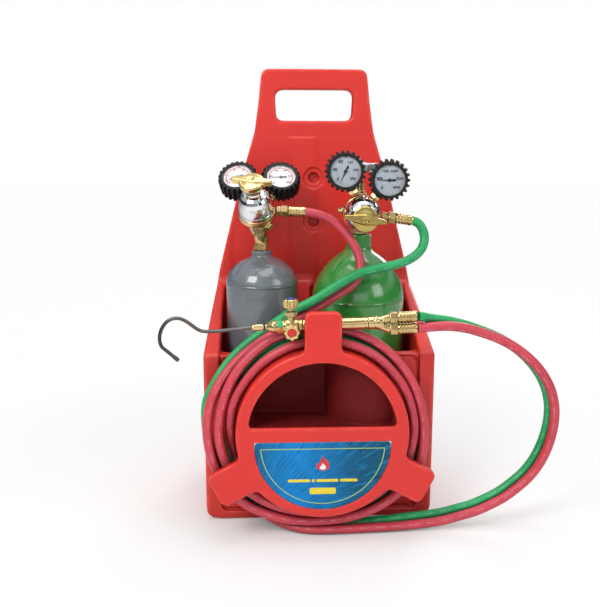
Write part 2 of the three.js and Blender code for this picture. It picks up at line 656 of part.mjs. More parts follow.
const FUEL_PATH = [
  // regulator down to the reel
  [-36, -30.5, 422.4], [-27, -30.5, 422], [-17.3, -30.5, 421.4], [0.2, -31.5, 418.3],
  [19.6, -34, 410.6], [37.3, -40, 394.5], [49.3, -48, 377.4], [56.1, -55.5, 361.7],
  [57.5, -61, 348.6], [54.3, -66.5, 336.3], [42.5, -75, 324.3], [21.2, -84, 312.3],
  [5.3, -90.5, 303.6], [-16.5, -98, 292.7], [-31.1, -104, 285], [-33.2, -105.2, 281.8],
  [-47.6, -111.3, 273.4], [-67.9, -116.5, 265.2], [-86, -124, 254.8], [-105.5, -131, 240.7],
  [-122.8, -137.5, 223], [-137.2, -144.5, 202.3], [-145.8, -148.3, 181], [-149.6, -150, 147],
  ...FIRST_LAP,
  // over the top of the reel
  [86.1, -140, 249.6], [45.8, -137, 272.9], [0, -136, 281], [-41.5, -136, 274.7],
  [-67.6, -138, 264.2], [-102.1, -144, 235.8],
  ...SECOND_LAP,
  // out past the right side and back to the torch
  [22, -150.5, 6.7], [55, -149, 6.7], [92, -147, 6.9], [116.6, -145, 7.5],
  [141.3, -144, 9.4], [165.9, -143, 12.5], [190, -142, 18.4], [210.5, -141, 23.8],
  [230, -140, 32.1], [249.1, -139, 41.9], [266.6, -139, 55.6], [283.4, -139, 71.7],
  [296.6, -140, 92.2], [305.9, -141, 115.9], [311, -142, 141.9], [311.2, -143, 169.3],
  [304, -144, 196.3], [289.9, -145, 220.5], [271.1, -146, 240.5], [249.8, -147, 256.3],
  [227.4, -147.5, 268], [204.5, -148, 276.3], [189.6, -149, 281], [167, -149.5, 284.6],
  [144.4, -150, 284.5], [132.2, -150, 283.4], [123.4, -150, 282.95],
];
const OXYGEN_PATH = [
  // regulator down to the reel
  [112, -45, 413.4], [121, -45, 412.2], [130, -45, 411], [137.7, -45.3, 408.7],
  [143.8, -46.5, 400.6], [147, -49, 389.7], [145.5, -53, 378.4], [138.9, -58, 368.7],
  [126.3, -64, 360.3], [110.5, -69, 354.7], [82.3, -76, 349.2], [54.6, -81, 343.5],
  [39.7, -86, 336.6], [21.4, -93, 327.5], [4.7, -99.5, 317.9], [-13.9, -105.5, 307.9],
  [-29.4, -106.2, 300.6], [-51, -102.3, 286.4], [-78.8, -106, 267.1], [-101.8, -111.5, 250.1],
  [-119.5, -118, 233.7], [-132.1, -123.5, 217.5], [-143.1, -128.5, 199.1],
  [-151, -132.5, 179.9], [-151.1, -136.3, 147],
  ...behind(FIRST_LAP),
  // over the top of the reel
  [83.6, -127, 246.6], [43.3, -124, 265.9], [0, -123.5, 269.5], [-37.9, -123.3, 263.6],
  [-60.8, -123.4, 252.6], [-94.5, -124.5, 229],
  ...behind(SECOND_LAP),
  // out past the right side and back to the torch
  [22, -137.3, 7.2], [55, -136, 9], [92, -135, 11.5], [118, -133.4, 13.9],
  [141.7, -132.4, 15.9], [165.2, -131.1, 18.4], [188.4, -129.9, 23.8], [208.2, -128.8, 28.6],
  [226.9, -127.8, 36.5], [245.5, -126.8, 45.9], [262.4, -126.8, 59], [278.7, -126.8, 74.4],
  [291.6, -127.8, 94.2], [300.8, -128.8, 117], [306.4, -129.5, 142.1], [307.2, -130.3, 168.9],
  [300.7, -131.1, 195.4], [287.6, -132, 219.4], [269.8, -132.8, 239.5], [249.3, -133.7, 255.7],
  [227.4, -134.2, 268], [204.8, -134.7, 277], [189.6, -135.8, 282.5], [167, -136.8, 288.6],
  [144.4, -139.4, 292.5], [132.2, -144.7, 295.6], [127.5, -149.6, 298.2],
  [123.3, -150, 298.15],
];

function buildRegulatorFerrule(hoseName, { outlet, ferruleStart }) {
  const profile = [
    [3, 0], [6.4, 0], [7.5, 1.5], [7.5, 22.5], [7.1, FERRULE_LENGTH],
    [6.85, FERRULE_LENGTH], [6.85, 2.5], [3, 2.5], [3, 0],
  ];
  const name = `${hoseName}_regulator_ferrule`;
  add(outlet, name, turned(profile, 16), MATERIALS.brass, [0, 0, ferruleStart]);
}

// ---------------------------------------------------------------- torch
// Local +X runs from the tip towards the hoses.
const HANDLE_END = 97.5;
const NUT_FACE = -20; // joint between valve body and mixer nut
const KNOB_BASE = 19; // top of the oxygen knob's hexagon
const FUEL_KNOB_Y = -12.5;
const FUEL_KNOB_Z = -4;
const OXYGEN_HOSE_Z = 5.6;
const FUEL_HOSE_Z = -9.6;
const TIP_PATH = [
  [-49, 0, 0], [-56, 0, 0], [-75, 0, -1.3], [-95, 0, -2.3], [-110, 0, -2.2],
  [-117, 0, -0.4], [-125, 0, 5.5], [-133.5, 0, 12.4], [-143.5, 0, 16.6], [-154.5, 0, 14.4],
  [-163.8, 0, 4.5], [-167.8, 0, -8.4], [-166.2, 0, -19], [-158.5, 0, -26.6],
  [-145.5, 0, -39],
];
// turned about local +X; profile of [radius, x]
const turnedX = (profile, segments) => turned(profile, segments).rotateY(Math.PI / 2);

function torchValveBody() {
  const barrel = [
    [0, NUT_FACE], [7.4, NUT_FACE], [8.6, -18], [8.6, -13], [7.4, -11], [9.2, -7],
    [9.2, 9], [8.2, 11], [8.2, 14.3], [0, 14.3],
  ];
  const fuelBoss = (y) => [0, y, FUEL_KNOB_Z];
  const body = join(
    turnedX(barrel, 10),
    rod(6.3, 0, 14.5, 7),
    hexBar(14, 12.5, KNOB_BASE),
    bar(fuelBoss(0), fuelBoss(-12), 6.2),
    bar(fuelBoss(-9.5), fuelBoss(FUEL_KNOB_Y), 7.6, 6),
  );
  return cut(body, rod(2.4, -21, -3, 7).rotateY(Math.PI / 2));
}

function buildTorchKnobs(group) {
  const profile = [[0, 23], [7.5, 23], [9.2, 26], [9.2, 33], [7, 36.5], [0, 36.9]];
  const grip = meet(turned(profile, 10), prismZ(lobed(8.9, 0.6, 8), 20, 40));
  const oxygenKnob = join(rod(2.6, KNOB_BASE + GAP, 24, 7), grip);
  add(group, 'torch_oxygen_knob', oxygenKnob, MATERIALS.knob);
  const fuelGroup = addGroup(group, [0, FUEL_KNOB_Y - GAP, FUEL_KNOB_Z], [Math.PI / 2, 0, 0]);
  const fuelKnob = join(rod(2.6, 0, 3, 7), prismZ(lobed(9.6, 0.9, 8), 2, 10.5));
  add(fuelGroup, 'torch_fuel_knob', fuelKnob, MATERIALS.knob);
}

// collar, then two arms to the hose nuts
function torchRearBlock() {
  const collar = [
    [0, HANDLE_END + GAP], [8.6, HANDLE_END + GAP], [8.6, 109], [7.6, 112], [7.2, 118],
    [0, 118],
  ];
  const arms = [OXYGEN_HOSE_Z, FUEL_HOSE_Z].map((z) => join(
    bar([114, 0, (z - 1.6) * 0.45], [126.5, 0, z], 5.4),
    hexBar(13.4, 126, 135.6).rotateY(Math.PI / 2).translate(0, 0, z),
  ));
  return join(turnedX(collar, 10), ...arms);
}

function buildTorch() {
  const group = addGroup(root, [-39.5, -150, 286.6], [0, degToRad(-2.1), 0]);
  const handle = [[6.4, 14.6], [8.2, 14.6], [8.2, HANDLE_END], [6.4, HANDLE_END], [6.4, 14.6]];
  add(group, 'torch_handle', turnedX(handle, 11), MATERIALS.brass);
  add(group, 'torch_valve_body', torchValveBody(), MATERIALS.brass);
  buildTorchKnobs(group);
  const nutEnd = NUT_FACE - GAP;
  const mixerNut = [
    [2.4, -31], [4.6, -31], [5.2, -30], [8.2, -24], [8.2, nutEnd], [2.4, nutEnd], [2.4, -31],
  ];
  add(group, 'mixer_nut', turnedX(mixerNut, 10), MATERIALS.brass);
  add(group, 'torch_rear_block', torchRearBlock(), MATERIALS.brass);
  const ferrule = [[3, 0], [6.4, 0], [7.1, 1.5], [7.1, 22.5], [6.8, 25], [3, 25], [3, 0]];
  for (const [gas, z] of [['oxygen', OXYGEN_HOSE_Z], ['fuel', FUEL_HOSE_Z]]) {
    const name = `${gas}_hose_torch_ferrule`;
    add(group, name, turnedX(ferrule, 8), MATERIALS.brass, [136, 0, z]);
  }
  // curved welding tip with its sleeve
  const sleeve = [
    [0, -50], [3.6, -50], [4.3, -49], [4.3, -36], [3.4, -35], [3.4, -31.3], [0, -31.3],
  ];
  const tip = join(turnedX(sleeve, 8), tube(TIP_PATH, 2.3, 32, 6));
  add(group, 'welding_tip', tip, MATERIALS.tip);
}

// ---------------------------------------------------------------- assembly
buildCarrier();
buildHub();
buildAcetyleneCylinder();
buildOxygenCylinder();
buildAcetyleneValve();
buildOxygenValve();

const acTarget = along(AC_VALVE, AC_DIR, REG_REACH - REG_HUB);
const oxTarget = along(OX_VALVE, OX_DIR, REG_REACH - REG_HUB);
const acGauge = { target: acTarget, dial: MATERIALS.dialRed };
const oxGauge = { target: oxTarget, dial: MATERIALS.dialBlue, normal: [-0.05, -0.9985, -0.02] };
const acPorts = [
  {
    ...acGauge, prefix: 'acetylene_outlet', centre: [-112.2, 15, 467.3],
    normal: [-0.13, -0.735, 0.665], needleDeg: 205,
  },
  {
    ...acGauge, prefix: 'acetylene_inlet', centre: [-50.4, 15, 467.1],
    normal: [0.06, -0.74, 0.67], needleDeg: 182,
  },
].map(buildGauge);
const oxPorts = [
  { ...oxGauge, prefix: 'oxygen_outlet', centre: [35.8, -58, 478], needleDeg: 245 },
  { ...oxGauge, prefix: 'oxygen_inlet', centre: [95.6, -58, 466.5], needleDeg: 180 },
].map(buildGauge);

const acRegulator = buildRegulator({
  prefix: 'acetylene', valve: AC_VALVE, direction: AC_DIR, rollDeg: 3, knobDeg: -9,
  ports: acPorts,
  outletStart: [-57.5, -30.6, 423.3],
  outletEnd: [-17.3, -30.5, 421.4],
  reliefEnd: [-64.6, -47.6, 402.3],
});
const oxRegulator = buildRegulator({
  prefix: 'oxygen', valve: OX_VALVE, direction: OX_DIR, rollDeg: -8,
  ports: oxPorts,
  outletStart: [86.4, -45.5, 417.1],
  outletEnd: [130, -45, 411],
  reliefEnd: [26.6, -45, 425.6],
});

add(root, 'fuel_hose', tube(FUEL_PATH, HOSE_R, 115, 6), MATERIALS.hoseRed);
add(root, 'oxygen_hose', tube(OXYGEN_PATH, HOSE_R, 115, 6), MATERIALS.hoseGreen);
buildRegulatorFerrule('fuel_hose', acRegulator);
buildRegulatorFerrule('oxygen_hose', oxRegulator);
buildTorch();

export default root;
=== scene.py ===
"""Portable oxy-acetylene welding set in a moulded tote carrier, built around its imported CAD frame.

The carrier stands on the floor, z = 0, and its front faces -Y. The grey acetylene cylinder
stands at the left (-X), the green oxygen cylinder at the right (+X). Both hoses are wound on a
hub on the front; the torch lies along X across the upper part of the hub, its tip to the left.
Shapes are in millimetres until a mesh is made; materials, lights and camera are in metres.
"""
import bpy
import json
import math
import numpy as np
from mathutils import Matrix, Vector

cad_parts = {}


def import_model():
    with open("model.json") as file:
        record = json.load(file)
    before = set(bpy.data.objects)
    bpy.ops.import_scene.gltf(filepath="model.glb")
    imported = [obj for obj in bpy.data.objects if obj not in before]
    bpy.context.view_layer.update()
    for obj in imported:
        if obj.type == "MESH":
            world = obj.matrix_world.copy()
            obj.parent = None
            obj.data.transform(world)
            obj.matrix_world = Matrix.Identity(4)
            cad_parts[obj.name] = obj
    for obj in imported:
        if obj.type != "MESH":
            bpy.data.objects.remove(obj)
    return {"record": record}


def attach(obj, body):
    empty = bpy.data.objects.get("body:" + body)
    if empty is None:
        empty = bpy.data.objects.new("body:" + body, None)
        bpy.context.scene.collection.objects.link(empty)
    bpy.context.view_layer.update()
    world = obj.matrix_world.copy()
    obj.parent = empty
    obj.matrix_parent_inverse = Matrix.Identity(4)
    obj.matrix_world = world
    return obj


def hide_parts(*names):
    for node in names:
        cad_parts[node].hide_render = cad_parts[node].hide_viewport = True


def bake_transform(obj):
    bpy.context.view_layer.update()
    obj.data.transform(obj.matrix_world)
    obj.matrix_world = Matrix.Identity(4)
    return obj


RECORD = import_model()["record"]
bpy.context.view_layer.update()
BODY = {node: body for body, nodes in RECORD["behaviour"]["bodies"].items() for node in nodes}
COARSENESS = 1.0     # cell size factor of the blended surfaces

# Carrier
FRONT_HALF_WIDTH = 157.5
BACK_HALF_WIDTH = 147.5
FRONT_Y = -100.0
BACK_Y = 105.0
PANEL_Y = 75.0          # front face of the tall back panel
TOP_Z = 622.0
BAY_HALF_WIDTH = 135.5

# Hub and its label
HUB_Z = 147.0
SHELF_Z = 157.0
LABEL_DROP = 11.6       # label centre below the hub centre
LABEL_Z = HUB_Z - LABEL_DROP
LABEL_Y = -175.0

# Cylinders, valves and regulators
ACETYLENE_X = -78.5
OXYGEN_X = 60.0
CYLINDER_Y = -5.0
CYLINDER_BASE_Z = 20.3
REGULATOR_REACH = 50.0  # from valve centre to regulator origin
PORT_DEPTH = 9.0        # ports meet this far behind the regulator origin

HOSE_RADIUS = 6.3
HOSE_SIDES = 24
HOSE_PITCH = 13.2       # oxygen turns lie this far behind the fuel turns


# ------------------------------------------------------------------ vectors and placements
def vec(*values):
    return np.array(values, float)


def unit(v):
    v = np.array(v, float)
    return v / np.linalg.norm(v)


def along(start, direction, distance):
    return np.array(start, float) + unit(direction) * distance


def pose(x=(1, 0, 0), y=(0, 1, 0), z=(0, 0, 1), origin=(0, 0, 0)):
    """Placement with the given axes and origin."""
    place = np.eye(4)
    place[:3] = np.column_stack((x, y, z, origin))
    return place


def aimed(origin, direction, roll=0.0):
    """Placement whose +Z points along direction, turned about it by roll degrees."""
    z = unit(direction)
    x = unit(np.cross((0, 0, 1) if abs(z[2]) < 0.9 else (1, 0, 0), z))
    y = np.cross(z, x)
    c, s = math.cos(math.radians(roll)), math.sin(math.radians(roll))
    return pose(x * c + y * s, y * c - x * s, z, origin)


def to_world(place, points):
    return np.atleast_2d(np.array(points, float)) @ place[:3, :3].T + place[:3, 3]


def to_local(place, point):
    return (np.array(point, float) - place[:3, 3]) @ place[:3, :3]


# ------------------------------------------------------------------ meshes and pieces
def to_mesh(name, verts, faces, normals, sharp, attrs):
    verts = verts / 1000.0
    mesh = bpy.data.meshes.new(name)
    if isinstance(faces, np.ndarray):
        sides = faces.shape[1]
        mesh.vertices.add(len(verts))
        mesh.vertices.foreach_set("co", verts.astype(np.float32).ravel())
        mesh.loops.add(faces.size)
        mesh.loops.foreach_set("vertex_index", faces.astype(np.int32).ravel())
        mesh.polygons.add(len(faces))
        starts = (np.arange(len(faces)) * sides).astype(np.int32)
        mesh.polygons.foreach_set("loop_start", starts)
        mesh.update(calc_edges=True)
    else:
        mesh.from_pydata(verts.tolist(), [], faces)
        mesh.update()
    mesh.validate()
    mesh.polygons.foreach_set("use_smooth", np.ones(len(mesh.polygons), bool))
    for key, values in attrs.items():
        attribute = mesh.attributes.new(key, "FLOAT", "POINT")
        attribute.data.foreach_set("value", np.asarray(values, np.float32))
    if normals is not None:
        mesh.normals_split_custom_set_from_vertices(np.asarray(normals, np.float32).tolist())
    else:
        mesh.set_sharp_from_angle(angle=math.radians(sharp))
    return mesh


def piece(name, parts, material, node, place=None, extra=False, normals=None, sharp=38.0,
          weighted=True, attrs=None, slot=None, rides=True):
    """One visible piece on a CAD node; an extra piece does not stand in for the node.

    parts is one or a list of (vertices, faces[, turn]); turn drives the lathe grooves.
    """
    if isinstance(parts, tuple):
        parts = [parts]
    verts, faces, turns, start = [], [], [], 0
    for points, part_faces, *turn in parts:
        if isinstance(part_faces, np.ndarray):
            faces = part_faces
        else:
            faces += [[int(i) + start for i in face] for face in part_faces]
        verts.append(np.asarray(points, float))
        turns.append(turn[0] if turn else np.zeros(len(points)))
        start += len(points)
    verts = np.concatenate(verts)
    if place is not None:
        verts = to_world(place, verts)
        if normals is not None:
            normals = normals @ place[:3, :3].T
    all_attrs = {"turn": np.concatenate(turns), **(attrs or {})}
    mesh = to_mesh(name, verts, faces, normals, sharp, all_attrs)
    obj = bpy.data.objects.new(name, mesh)
    bpy.context.scene.collection.objects.link(obj)
    mesh.materials.append(MATERIALS[material].result)
    if normals is None and weighted:
        modifier = obj.modifiers.new("wn", "WEIGHTED_NORMAL")
        modifier.keep_sharp = True
        modifier.weight = 60
    if rides:
        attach(obj, BODY[node])
    if not extra:
        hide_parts(node)
    return obj


def outward(verts, faces):
    """Turns all faces round if they enclose a negative volume."""
    verts = np.array(verts, float)
    volume = 0.0
    for face in faces:
        for i in range(1, len(face) - 1):
            volume += np.dot(verts[face[0]], np.cross(verts[face[i]], verts[face[i + 1]]))
    return verts, [face[::-1] for face in faces] if volume < 0 else faces


def tube_faces(rings, sides):
    """Faces of consecutive rings of vertices, with a cap at each end."""
    faces = []
    for a in range(0, (rings - 1) * sides, sides):
        for k in range(sides):
            j = (k + 1) % sides
            faces.append([a + k, a + j, a + sides + j, a + sides + k])
    last = (rings - 1) * sides
    return faces + [list(range(sides))[::-1], list(range(last, last + sides))]


def soften(points, radius=0.45, steps=3, closed=False, reach=0.45, flat=1.5):
    """Rounds the corners of an outline; a point may carry its own radius as a third value.

    A rounding takes at most the share `reach` of a side. Corners whose half angle exceeds
    `flat` radians are left alone.
    """
    result, count = [], len(points)
    for i, (x, y, *own) in enumerate(points):
        size = own[0] if own else radius
        if size <= 0 or (not closed and i in (0, count - 1)):
            result.append((x, y))
            continue
        corner = vec(x, y)
        before = vec(*points[i - 1][:2]) - corner
        after = vec(*points[(i + 1) % count][:2]) - corner
        side_before, side_after = np.linalg.norm(before), np.linalg.norm(after)
        before, after = before / side_before, after / side_after
        half = math.acos(float(np.clip(before @ after, -1, 1))) / 2
        if half > flat:
            result.append((x, y))
            continue
        cut = min(size / math.tan(half), side_before * reach, side_after * reach)
        start, end = corner + before * cut, corner + after * cut
        for k in range(steps + 1):
            s = k / steps
            result.append(tuple((1 - s) ** 2 * start + 2 * s * (1 - s) * corner + s * s * end))
    return result


def rounded(points, steps=6):
    """Closed outline, rounded only at the points that carry a radius."""
    return soften(points, 0, steps, closed=True, reach=0.49, flat=math.pi)


def lathe(profile, sides=64, closed=False, wave=None):
    """Turned part about +Z from (radius, z); wave(angle, i) is added to the radius of point i."""
    verts, faces, rows, turn = [], [], [], []
    for i, (radius, z) in enumerate(profile):
        on_axis = radius < 1e-6 and not closed
        ring = range(1 if on_axis else sides)
        rows.append([len(verts) + k for k in ring])
        for k in ring:
            angle = 2 * math.pi * k / sides
            reach = radius + (wave(angle, i) if wave else 0)
            verts.append((reach * math.cos(angle), reach * math.sin(angle), z))
            turn.append(z + radius)
    for i in range(len(rows) if closed else len(rows) - 1):
        low, high = rows[i], rows[(i + 1) % len(rows)]
        for k in range(sides):
            j = (k + 1) % sides
            if len(low) == 1:
                faces.append([low[0], high[j], high[k]])
            elif len(high) == 1:
                faces.append([low[k], low[j], high[0]])
            else:
                faces.append([low[k], low[j], high[j], high[k]])
    return (*outward(verts, faces), np.array(turn))


def arc_length(path):
    return np.r_[0, np.cumsum(np.linalg.norm(np.diff(path, axis=0), axis=1))]


def smooth_path(points, step, sigma):
    """Centripetal spline through the points, sampled evenly and relaxed by a Gaussian."""
    knots = [np.array(p, float) for p in points]
    knots = [2 * knots[0] - knots[1]] + knots + [2 * knots[-1] - knots[-2]]
    curve = []
    for i in range(1, len(knots) - 2):
        p0, p1, p2, p3 = knots[i - 1:i + 3]
        d0, d1, d2 = [max(np.linalg.norm(b - a), 1e-6) ** 0.5
                      for a, b in ((p0, p1), (p1, p2), (p2, p3))]
        t1 = ((p1 - p0) / d0 - (p2 - p0) / (d0 + d1) + (p2 - p1) / d1) * d1
        t2 = ((p2 - p1) / d1 - (p3 - p1) / (d1 + d2) + (p3 - p2) / d2) * d1
        for s in np.arange(0, 1, 0.04):
            s2, s3 = s * s, s ** 3
            curve.append((2 * s3 - 3 * s2 + 1) * p1 + (s3 - 2 * s2 + s) * t1
                         + (3 * s2 - 2 * s3) * p2 + (s3 - s2) * t2)
    curve.append(knots[-2])
    curve = np.array(curve)
    distance = arc_length(curve)
    stations = np.linspace(0, distance[-1], int(distance[-1] / step) + 1)
    path = np.stack([np.interp(stations, distance, curve[:, k]) for k in range(3)], 1)
    width = int(3 * sigma / step)
    kernel = np.exp(-0.5 * (np.arange(-width, width + 1) * step / sigma) ** 2)
    kernel /= kernel.sum()
    padded = np.concatenate([2 * path[0] - path[width:0:-1], path,
                             2 * path[-1] - path[-2:-width - 2:-1]])
    return np.stack([np.convolve(padded[:, k], kernel, "valid") for k in range(3)], 1)


def ring_angles(sides):
    return 2 * np.pi * np.arange(sides) / sides


def sweep(path, radius, sides=16):
    """Round cord along a path; radius is one value or one per point."""
    count = len(path)
    radius = np.full(count, radius, float) if np.isscalar(radius) else radius
    tangents = np.gradient(path, axis=0)
    tangents /= np.linalg.norm(tangents, axis=1)[:, None]
    reference = vec(0, 0, 1) if abs(tangents[0][2]) < 0.9 else vec(1, 0, 0)
    across = [unit(np.cross(reference, tangents[0]))]
    for i in range(1, count):
        u = across[-1] - tangents[i] * (across[-1] @ tangents[i])
        across.append(u / np.linalg.norm(u))
    across = np.array(across)
    other = np.cross(tangents, across)
    angles = ring_angles(sides)
    verts = path[:, None] + radius[:, None, None] * (
        across[:, None] * np.cos(angles)[None, :, None]
        + other[:, None] * np.sin(angles)[None, :, None])
    return verts.reshape(-1, 3), tube_faces(count, sides), np.repeat(arc_length(path), sides)


def mitres(outline):
    """Outward corner vectors of an anticlockwise outline, for an offset of one."""
    total = 0
    for edge in (outline - np.roll(outline, 1, 0), np.roll(outline, -1, 0) - outline):
        normal = np.stack([edge[:, 1], -edge[:, 0]], 1)
        total = total + normal / (np.linalg.norm(normal, axis=1)[:, None] + 1e-12)
    return total / np.maximum((total * total).sum(1)[:, None] / 2, 0.3)


def prism(outline, front, back, edge=0.3, steps=2):
    """Plate with rounded edges: an outline in X-Z, from y = front to y = back."""
    outline = np.array(outline, float)
    x, z = outline.T
    if 0.5 * np.sum(x * np.roll(z, -1) - np.roll(x, -1) * z) < 0:
        outline = outline[::-1]
    rings = []
    for k in range(steps + 1):
        a = math.pi / 2 * k / steps
        rings.append((edge * (1 - math.sin(a)), front + edge * (1 - math.cos(a))))
    rings += [(inset, front + back - y) for inset, y in rings[::-1]]
    corners = mitres(outline)
    verts = [(x, y, z) for inset, y in rings for x, z in outline - corners * inset]
    return outward(verts, tube_faces(len(rings), len(outline)))


# ------------------------------------------------------------------ distance fields
# A shape is its signed distance at x, y, z, negative inside. A blend rounds the joint.
def length(*values):
    return np.sqrt(sum(v * v for v in values))


def meet(a, b, blend=0.0):
    if blend <= 0:
        return np.maximum(a, b)
    return (np.minimum(np.maximum(a, b), -blend)
            + np.sqrt(np.maximum(a + blend, 0) ** 2 + np.maximum(b + blend, 0) ** 2))


def join(a, b, blend=0.0):
    return -meet(-a, -b, blend)


def carve(a, b, blend=0.0):
    return meet(a, -b, blend)


def slab(value, middle, half):
    return np.abs(value - middle) - half


def rectangle(x, y, x0, x1, y0, y1, r):
    qx = slab(x, (x0 + x1) / 2, (x1 - x0) / 2) + r
    qy = slab(y, (y0 + y1) / 2, (y1 - y0) / 2) + r
    return np.minimum(np.maximum(qx, qy), 0) + length(np.maximum(qx, 0), np.maximum(qy, 0)) - r


def polygon(points, x, y):
    x, y = np.broadcast_arrays(x, y)
    nearest = np.full(x.shape, 1e9)
    outside = np.ones(x.shape, bool)
    for i, (ax, ay) in enumerate(points):
        bx, by = points[i - 1]
        ex, ey = bx - ax, by - ay
        wx, wy = x - ax, y - ay
        t = np.clip((wx * ex + wy * ey) / (ex * ex + ey * ey + 1e-12), 0, 1)
        nearest = np.minimum(nearest, (wx - ex * t) ** 2 + (wy - ey * t) ** 2)
        above, below, left = y >= ay, y < by, ex * wy > ey * wx
        outside ^= (above & below & left) | (~above & ~below & ~left)
    return np.where(outside, 1.0, -1.0) * np.sqrt(nearest)


def rod(x, y, z, start, end, radius, edge):
    start = np.array(start, float)
    axis = np.array(end, float) - start
    extent = np.linalg.norm(axis)
    axis = axis / extent
    x, y, z = x - start[0], y - start[1], z - start[2]
    t = x * axis[0] + y * axis[1] + z * axis[2]
    rho = np.sqrt(np.maximum(x * x + y * y + z * z - t * t, 0))
    return meet(rho - radius, slab(t, extent / 2, extent / 2), edge)


def hexagon(x, y, z, start, end, flats, edge, turn=0.0):
    """Hexagonal bar with chamfered corners; flats is the width across flats."""
    start = np.array(start, float)
    axis = np.array(end, float) - start
    extent = np.linalg.norm(axis)
    frame = aimed(start, axis)
    x, y, z = x - start[0], y - start[1], z - start[2]
    a, b, t = [x * frame[0, k] + y * frame[1, k] + z * frame[2, k] for k in range(3)]
    sides = None
    for k in range(6):
        w = turn + k * 2 * math.pi / 6
        side = a * math.cos(w) + b * math.sin(w) - flats / 2
        sides = side if sides is None else np.maximum(sides, side)
    cap = slab(t, extent / 2, extent / 2)
    chamfer = (np.sqrt(a * a + b * b) - flats / 2 * 1.015) * 0.5 + cap * 0.866
    return meet(sides, np.maximum(cap, chamfer), edge)


def parts(x, y, z, rows, solid=None):
    """Joins to solid the rows (shape, start, end, radius or flats, edge, blend), in turn."""
    for shape, start, end, size, edge, blend in rows:
        part = shape(x, y, z, start, end, size, edge)
        solid = part if solid is None else join(solid, part, blend)
    return solid


def stack(rows, x=0.0, y=0.0):
    """Rows for parts() from upright ones: (shape, bottom, top, size, edge, blend)."""
    return [(shape, (x, y, low), (x, y, high), *rest) for shape, low, high, *rest in rows]


def surface(shape, low, high, cell):
    """Quad mesh of the surface shape(x, y, z) = 0 in a box, with its normals."""
    cell = cell * COARSENESS
    low, high = np.array(low, float), np.array(high, float)
    n = np.ceil((high - low) / cell).astype(int) + 2
    axes = [low[i] - 0.5 * cell + cell * np.arange(n[i]) for i in range(3)]
    field = np.broadcast_to(shape(*np.ix_(*axes)), n).astype(np.float32)
    inside = field < 0
    corners = list(np.ndindex(2, 2, 2))
    filled = np.zeros(n - 1, np.uint8)
    for i, j, k in corners:
        filled += inside[i:n[0] - 1 + i, j:n[1] - 1 + j, k:n[2] - 1 + k]
    cells = np.argwhere((filled > 0) & (filled < 8))
    index = np.full(n - 1, -1, np.int32)
    index[tuple(cells.T)] = np.arange(len(cells))
    # one vertex per crossed cell: the mean of the crossings on its edges
    total, crossings = np.zeros((len(cells), 3)), np.zeros(len(cells))
    value = {c: field[cells[:, 0] + c[0], cells[:, 1] + c[1], cells[:, 2] + c[2]]
             for c in corners}
    for corner in corners:
        for axis in range(3):
            if corner[axis]:
                continue
            opposite = list(corner)
            opposite[axis] = 1
            a, b = value[corner], value[tuple(opposite)]
            crossed = (a < 0) != (b < 0)
            t = np.where(crossed, a / np.where(crossed, a - b, 1), 0)
            point = np.zeros((len(cells), 3))
            point += corner
            point[:, axis] += t
            total += point * crossed[:, None]
            crossings += crossed
    origin = np.array([a[0] for a in axes])
    verts = origin + cell * (cells + total / crossings[:, None])
    # one quad round each grid edge that passes through the surface
    faces = []
    for axis in range(3):
        b, c = (axis + 1) % 3, (axis + 2) % 3
        near = [slice(1, n[k] - 1) for k in range(3)]
        far = list(near)
        near[axis], far[axis] = slice(0, n[axis] - 1), slice(1, n[axis])
        leaving = inside[tuple(near)]
        base = np.argwhere(leaving != inside[tuple(far)])
        if not len(base):
            continue
        up = leaving[tuple(base.T)]
        base[:, b] += 1
        base[:, c] += 1
        quad = []
        for db, dc in ((-1, -1), (0, -1), (0, 0), (-1, 0)):
            q = base.copy()
            q[:, b] += db
            q[:, c] += dc
            quad.append(index[tuple(q.T)])
        quad = np.stack(quad, 1)
        quad[~up] = quad[~up][:, ::-1]
        faces.append(quad)

    def gradient(points, step):
        result = np.zeros_like(points)
        for k in range(3):
            a, b = points.copy(), points.copy()
            a[:, k] += step
            b[:, k] -= step
            result[:, k] = (shape(*a.T) - shape(*b.T)) / (2 * step)
        return result

    for _ in range(2):      # pull the vertices onto the surface
        slope = gradient(verts, 0.2 * cell)
        move = shape(*verts.T) / np.maximum((slope * slope).sum(1), 0.25)
        verts = verts - slope * np.clip(move, -0.6 * cell, 0.6 * cell)[:, None]
    normals = gradient(verts, 0.3 * cell)
    normals /= np.linalg.norm(normals, axis=1)[:, None] + 1e-12
    return verts, np.concatenate(faces), normals


def solid_piece(name, shape, low, high, cell, material, node, **options):
    verts, faces, normals = surface(shape, low, high, cell)
    piece(name, (verts, faces), material, node, normals=normals, **options)


# ------------------------------------------------------------------ shader building
class Wire:
    """Output of a shader node; arithmetic on it adds Math nodes."""
    def __init__(self, shader, socket):
        self.shader, self.socket = shader, socket

    def __add__(self, other):
        return self.shader.math("ADD", self, other)

    def __sub__(self, other):
        return self.shader.math("SUBTRACT", self, other)

    def __mul__(self, other):
        return self.shader.math("MULTIPLY", self, other)

    def __abs__(self):
        return self.shader.math("ABSOLUTE", self)

    def span(self, low, high, to=(0.0, 1.0)):
        """Maps low..high onto the two values of `to`, held beyond the ends."""
        return self.shader.wire("MapRange", {
            "Value": self, "From Min": low, "From Max": high, "To Min": to[0], "To Max": to[1]})


